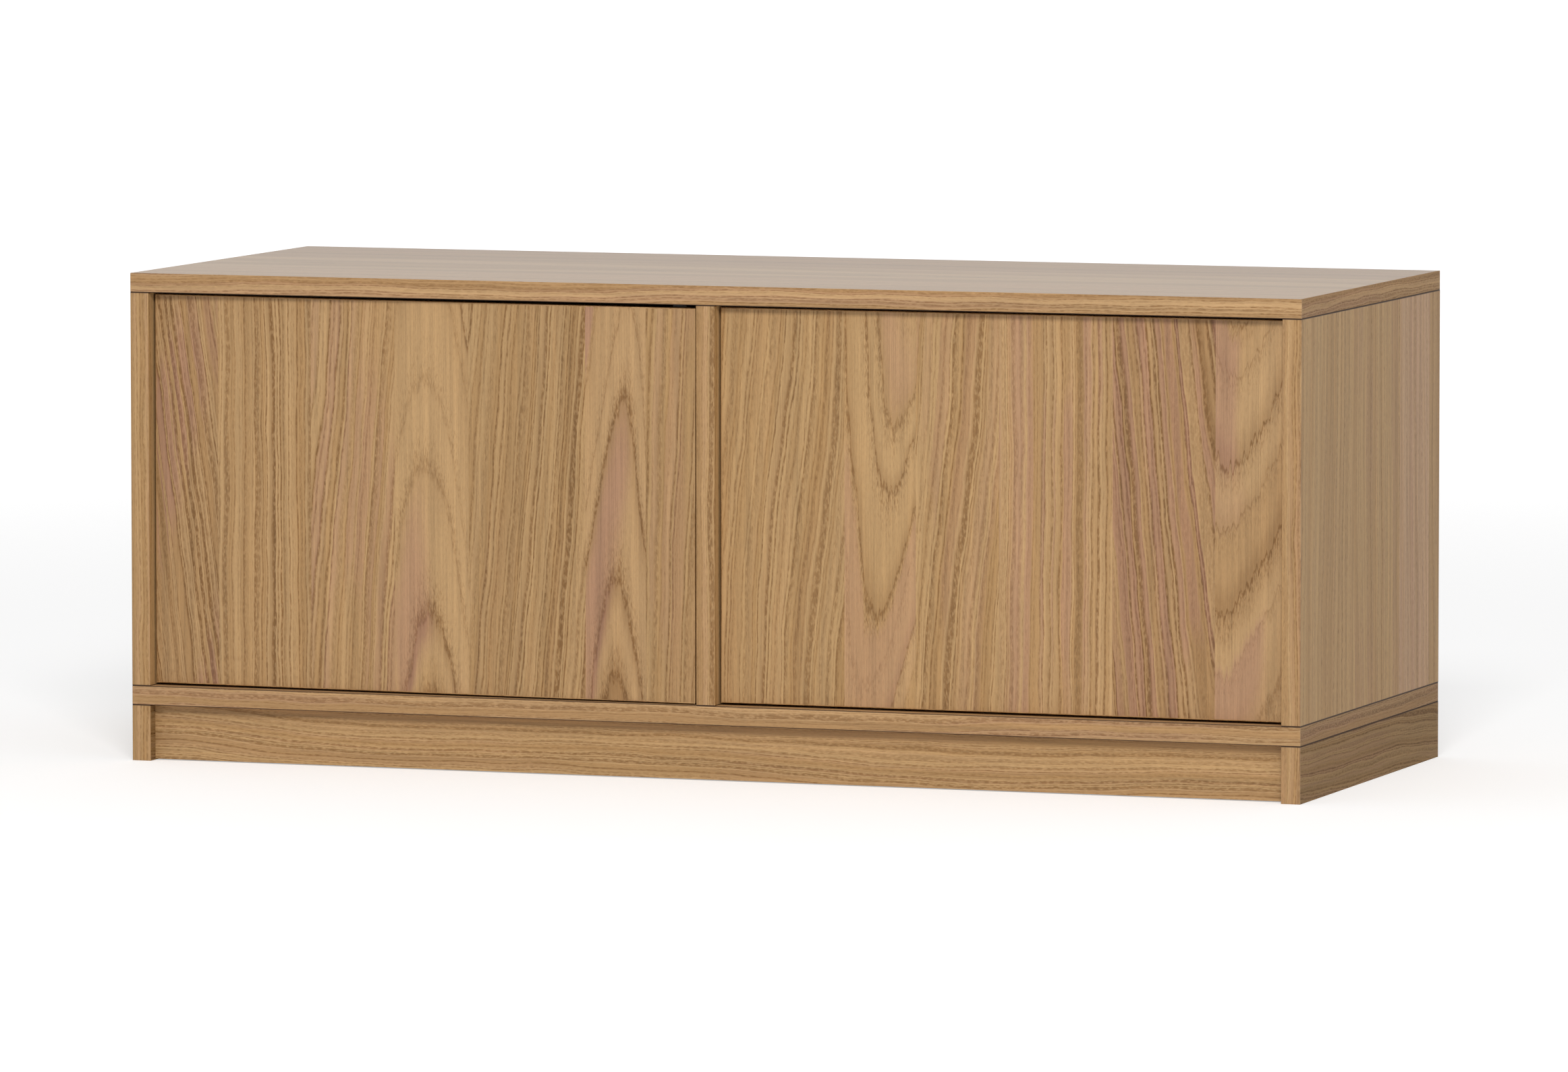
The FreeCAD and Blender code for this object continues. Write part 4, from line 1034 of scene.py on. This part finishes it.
class CABINET_OT_hinges(bpy.types.Operator):
    """Shape and plate the hinge cups, arms and mounting plates"""

    bl_idname = "cabinet.hinges"
    bl_label = "Hinges"

    def execute(self, context):
        fittings = context.scene.cabinet_fittings
        nickel = plated("nickel plate", fittings.nickel, roughness=0.26)
        for side in ("left", "right"):
            for level in ("upper", "lower"):
                for part, shape in (("cup", self.cup), ("arm", self.arm), ("plate", self.plate)):
                    shaped(f"{side}_{level}_hinge_{part}", "pressing", nickel, shape)
        pin_steel = plated("pin steel", fittings.zinc, roughness=0.30)
        finish([f"{door}_hinge_pins" for door in DOOR_BACK], pin_steel)
        return {"FINISHED"}

    def cup(self, piece):
        """The ears that are screwed to the door have round corners."""
        round_corners(piece, Y, at_ends(piece, Z), CUP_EAR_RADIUS)
        eased(piece, width=0.00030)

    def arm(self, piece):
        """The arm is a folded bar, with a slot for the screw that sets it."""
        box = box_of(piece)
        eased(piece, width=0.00075, segments=3)
        size = box[1] - box[0]
        screws = [spot.point for spot in screw_spots("hinge_arm_screws", towards_middle)]
        own = [point for point in screws if (point - middle_of(box)).length < size.length]
        rear = max(own, key=lambda point: point.y)
        face = rear - towards_middle(rear) * ARM_SCREW_HEAD
        cutter = primitive(
            bpy.ops.mesh.primitive_cube_add, size=1.0, location=face - BACKWARD * SLOT_LENGTH / 3,
            scale=(2 * SLOT_DEPTH, SLOT_LENGTH, SLOT_WIDTH),
        )
        round_corners(cutter, X, lambda point: True, SLOT_ROUNDING * SLOT_WIDTH)
        cut_away(piece, cutter)
        shade_smooth(piece)

    def plate(self, piece):
        """The wings have round ends."""
        round_corners(piece, X, at_ends(piece, Z), PLATE_WING_RADIUS)
        eased(piece, width=0.00045, segments=3)


class CABINET_OT_latches(bpy.types.Operator):
    """Shape the push latches, their plungers and the strike plates"""

    bl_idname = "cabinet.latches"
    bl_label = "Push latches"

    def execute(self, context):
        fittings = context.scene.cabinet_fittings
        plastic = moulded("latch plastic", fittings.plastic)
        dark_plastic = moulded("plunger plastic", fittings.plunger)
        steel = plated("strike steel", fittings.zinc, roughness=0.30)
        for side in ("left", "right"):
            shaped(f"{side}_latch_housing", "moulding", plastic, self.housing)
            shaped(f"{side}_latch_plunger", "moulding", dark_plastic, self.plunger)
            self.strike(f"{side}_strike_plate", steel)
        return {"FINISHED"}

    def housing(self, piece):
        round_corners(piece, Z, at_ends(piece, X), HOUSING_RADIUS)
        eased(piece, width=0.0007, segments=3)

    def plunger(self, piece):
        eased(piece, width=0.0005, segments=3)

    def strike(self, node_name, steel):
        """A disc with a turned ring, set on the back of the door."""
        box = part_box(node_name)
        radius = (box[1].z - box[0].z) / 2
        disc = primitive(
            bpy.ops.mesh.primitive_cylinder_add, vertices=48, radius=radius, depth=STRIKE_THICKNESS,
            location=(0.0, 0.0, -STRIKE_THICKNESS / 2),
        )
        with editing(disc):
            choose(disc, "faces", faces_up)
            bpy.ops.mesh.inset(thickness=RING_SHARE * radius)
            bpy.ops.mesh.inset(thickness=STRIKE_STEP)
            pull(-STRIKE_GROOVE)
        eased(disc, width=0.00015)
        facing = DOOR_BACK[BODY_OF[node_name]]
        spot = Spot(middle_of(box) + facing * STRIKE_THICKNESS / 2, facing)
        stand_for(set_of(disc, f"{node_name}_disc", [spot]), node_name, steel)


class CABINET_OT_screws(bpy.types.Operator):
    """Model the screws, with a cross recess in each head"""

    bl_idname = "cabinet.screws"
    bl_label = "Screws"

    def execute(self, context):
        fittings = context.scene.cabinet_fittings
        zinc = plated("zinc plate", fittings.zinc, roughness=0.32)
        flat = (flat_screw, SCREW_SHANK)
        kinds = {
            "back_panel_screws": (lambda point: BACKWARD, *flat),
            "left_door_hinge_screws": (lambda point: DOOR_BACK["left_door"], *flat),
            "right_door_hinge_screws": (lambda point: DOOR_BACK["right_door"], *flat),
            "latch_screws": (lambda point: DOWNWARD, *flat),
            "plinth_block_screws": (lambda point: DOWNWARD, *flat),
            "hinge_plate_screws": (towards_middle, round_screw, PLATE_SCREW_SHANK, PLATE_SCREW_HEAD),
            "hinge_arm_screws": (towards_middle, round_screw, ARM_SCREW_SHANK, ARM_SCREW_HEAD),
        }
        for node_name, (facing_of, model_of, *sizes) in kinds.items():
            spots = screw_spots(node_name, facing_of)
            last = spots[-1]
            model = model_of(last.width / 2, last.length, fittings.recess, *sizes)
            stand_for(set_of(model, f"{node_name}_driven", spots), node_name, zinc)
        return {"FINISHED"}


class CABINET_OT_fittings(bpy.types.Operator):
    """Shape the shelf pins and cam locks, and finish the bolts, dowels and corner blocks"""

    bl_idname = "cabinet.fittings"
    bl_label = "Pins, cams and blocks"

    def execute(self, context):
        fittings = context.scene.cabinet_fittings
        pin_nickel = plated("shelf pin nickel", fittings.nickel, roughness=0.28)
        shaped("shelf_pins", "turned", pin_nickel, self.pins)
        cast = plated("cast zinc", fittings.cast_zinc, roughness=0.40, pitted=0.25)
        shaped("cam_locks", "cast", cast, self.cams)
        finish(["cam_bolts"], cast)
        finish(["plinth_corner_blocks", "wood_dowels"], beech_wood(fittings))
        return {"FINISHED"}

    def pins(self, piece):
        eased(piece, width=0.0005, segments=3)

    def cams(self, piece):
        eased(piece, width=0.0003)


# Stage

CAMERA_PLACE = (3.76854, -10.49384, 1.17926)
CAMERA_TURN = tuple(math.radians(angle) for angle in (85.0817, 0.0238, 19.7621))
SENSOR_WIDTH = 36.0
FARTHEST_SEEN = 200.0
AIM = Vector((0.0, 0.0, 0.25))
KEY_AZIMUTH = math.radians(20.0)
KEY_ELEVATION = math.radians(31.0)
KEY_DISTANCE = 9.0
KEY_WIDTH = 2.6
KEY_HEIGHT = 1.8
FLOOR_SIZE = 80.0
SPECKLE_SCALE = 30.0
SPECKLE_TINT = 0.02
WHITE = (1.0, 1.0, 1.0, 1.0)

# How much the camera sees the floor lifted, near the cabinet and far off, and where that changes
NEAR_LIFT = 0.36
FAR_LIFT = 0.66
LIFT_REACH = (1.2, 6.0)


def lamp_place(azimuth, elevation, distance):
    """Point round the cabinet; azimuth 0 is straight in front of it, above 0 to the right."""
    flat = distance * math.cos(elevation)
    offset = (flat * math.sin(azimuth), -flat * math.cos(azimuth), distance * math.sin(elevation))
    return AIM + Vector(offset)


def seen_share(recipe):
    """1 for rays that show the background itself, 0 for rays that carry light."""
    path = recipe.add("ShaderNodeLightPath").outputs
    seen = recipe.math("MAXIMUM", path["Is Camera Ray"], path["Is Glossy Ray"])
    return recipe.math("MAXIMUM", seen, path["Is Transmission Ray"])


def sky(stage):
    """Even light from all round, which the camera sees as white."""
    world = bpy.context.scene.world or bpy.data.worlds.new("sky")
    bpy.context.scene.world = world
    world.use_nodes = True
    recipe = Recipe(world.node_tree)
    backdrop = world.node_tree.nodes["Background"]
    strength = recipe.mix(seen_share(recipe), stage.sky, 1.0, kind="FLOAT")
    recipe.fill(backdrop, {"Color": WHITE, "Strength": strength})


def floor_finish(stage):
    """Pale floor; the camera sees it lifted to white, more so far off, with the cabinet's shadow kept."""
    material, recipe, shader = new_material("pale floor")
    place = recipe.object_place()
    speckle = recipe.times(recipe.noise(place, SPECKLE_SCALE, detail=2.0), SPECKLE_TINT)
    distance = recipe.vector("LENGTH", place).node.outputs["Value"]
    lift = recipe.mix(recipe.rise(distance, *LIFT_REACH), NEAR_LIFT, FAR_LIFT, kind="FLOAT")
    recipe.fill(shader, {
        "Base Color": recipe.mix(speckle, stage.floor, stage.speckle),
        "Roughness": 0.9,
        "Emission Color": WHITE,
        "Emission Strength": recipe.times(seen_share(recipe), lift),
    })
    return material


class CABINET_OT_stage(bpy.types.Operator):
    """Set up the pale floor, the soft lamp, the sky and the camera"""

    bl_idname = "cabinet.stage"
    bl_label = "Stage"

    def execute(self, context):
        stage = context.scene.cabinet_stage
        bpy.ops.object.select_all(action="DESELECT")
        bpy.ops.mesh.primitive_plane_add(size=FLOOR_SIZE, location=(0.0, 0.0, 0.0))
        floor = context.object
        floor.name = "floor"
        floor.data.materials.append(floor_finish(stage))
        sky(stage)
        key_place = lamp_place(KEY_AZIMUTH, KEY_ELEVATION, KEY_DISTANCE)
        bpy.ops.object.light_add(type="AREA", location=key_place)
        key = context.object
        key.name = "key lamp"
        key.data.shape = "RECTANGLE"
        key.data.size = KEY_WIDTH
        key.data.size_y = KEY_HEIGHT
        key.data.energy = stage.key_power
        key.rotation_euler = (AIM - key_place).to_track_quat("-Z", "Y").to_euler()
        bpy.ops.object.camera_add(location=CAMERA_PLACE, rotation=CAMERA_TURN)
        camera = context.object
        camera.data.lens = stage.lens
        camera.data.sensor_width = SENSOR_WIDTH
        camera.data.clip_end = FARTHEST_SEEN
        context.scene.camera = camera
        context.scene.view_settings.view_transform = "Standard"
        return {"FINISHED"}


# Panel and registration

SETTINGS = {
    "cabinet_oak": OakSettings,
    "cabinet_fittings": FittingSettings,
    "cabinet_stage": StageSettings,
}
STEPS = (
    CABINET_OT_carcass, CABINET_OT_edge_bands, CABINET_OT_doors, CABINET_OT_plinth, CABINET_OT_hinges,
    CABINET_OT_latches, CABINET_OT_screws, CABINET_OT_fittings, CABINET_OT_stage,
)


class CABINET_PT_panel(bpy.types.Panel):
    """Lists the steps and the settings of the cabinet"""

    bl_label = "Storage cabinet"
    bl_idname = "CABINET_PT_panel"
    bl_space_type = "VIEW_3D"
    bl_region_type = "UI"
    bl_category = "Cabinet"

    def draw(self, context):
        for step in STEPS:
            self.layout.operator(step.bl_idname)
        for group in SETTINGS:
            settings = getattr(context.scene, group)
            for name in settings.bl_rna.properties.keys():
                if name not in ("rna_type", "name"):
                    self.layout.prop(settings, name)


CLASSES = (*SETTINGS.values(), *STEPS, CABINET_PT_panel)


def register():
    for item in CLASSES:
        bpy.utils.register_class(item)
    for group, kind in SETTINGS.items():
        setattr(bpy.types.Scene, group, bpy.props.PointerProperty(type=kind))


def unregister():
    for group in SETTINGS:
        delattr(bpy.types.Scene, group)
    for item in reversed(CLASSES):
        bpy.utils.unregister_class(item)


def main():
    register()
    bpy.ops.cabinet.carcass()
    bpy.ops.cabinet.edge_bands()
    bpy.ops.cabinet.doors()
    bpy.ops.cabinet.plinth()
    bpy.ops.cabinet.hinges()
    bpy.ops.cabinet.latches()
    bpy.ops.cabinet.screws()
    bpy.ops.cabinet.fittings()
    bpy.ops.cabinet.stage()


if __name__ == "__main__":
    main()
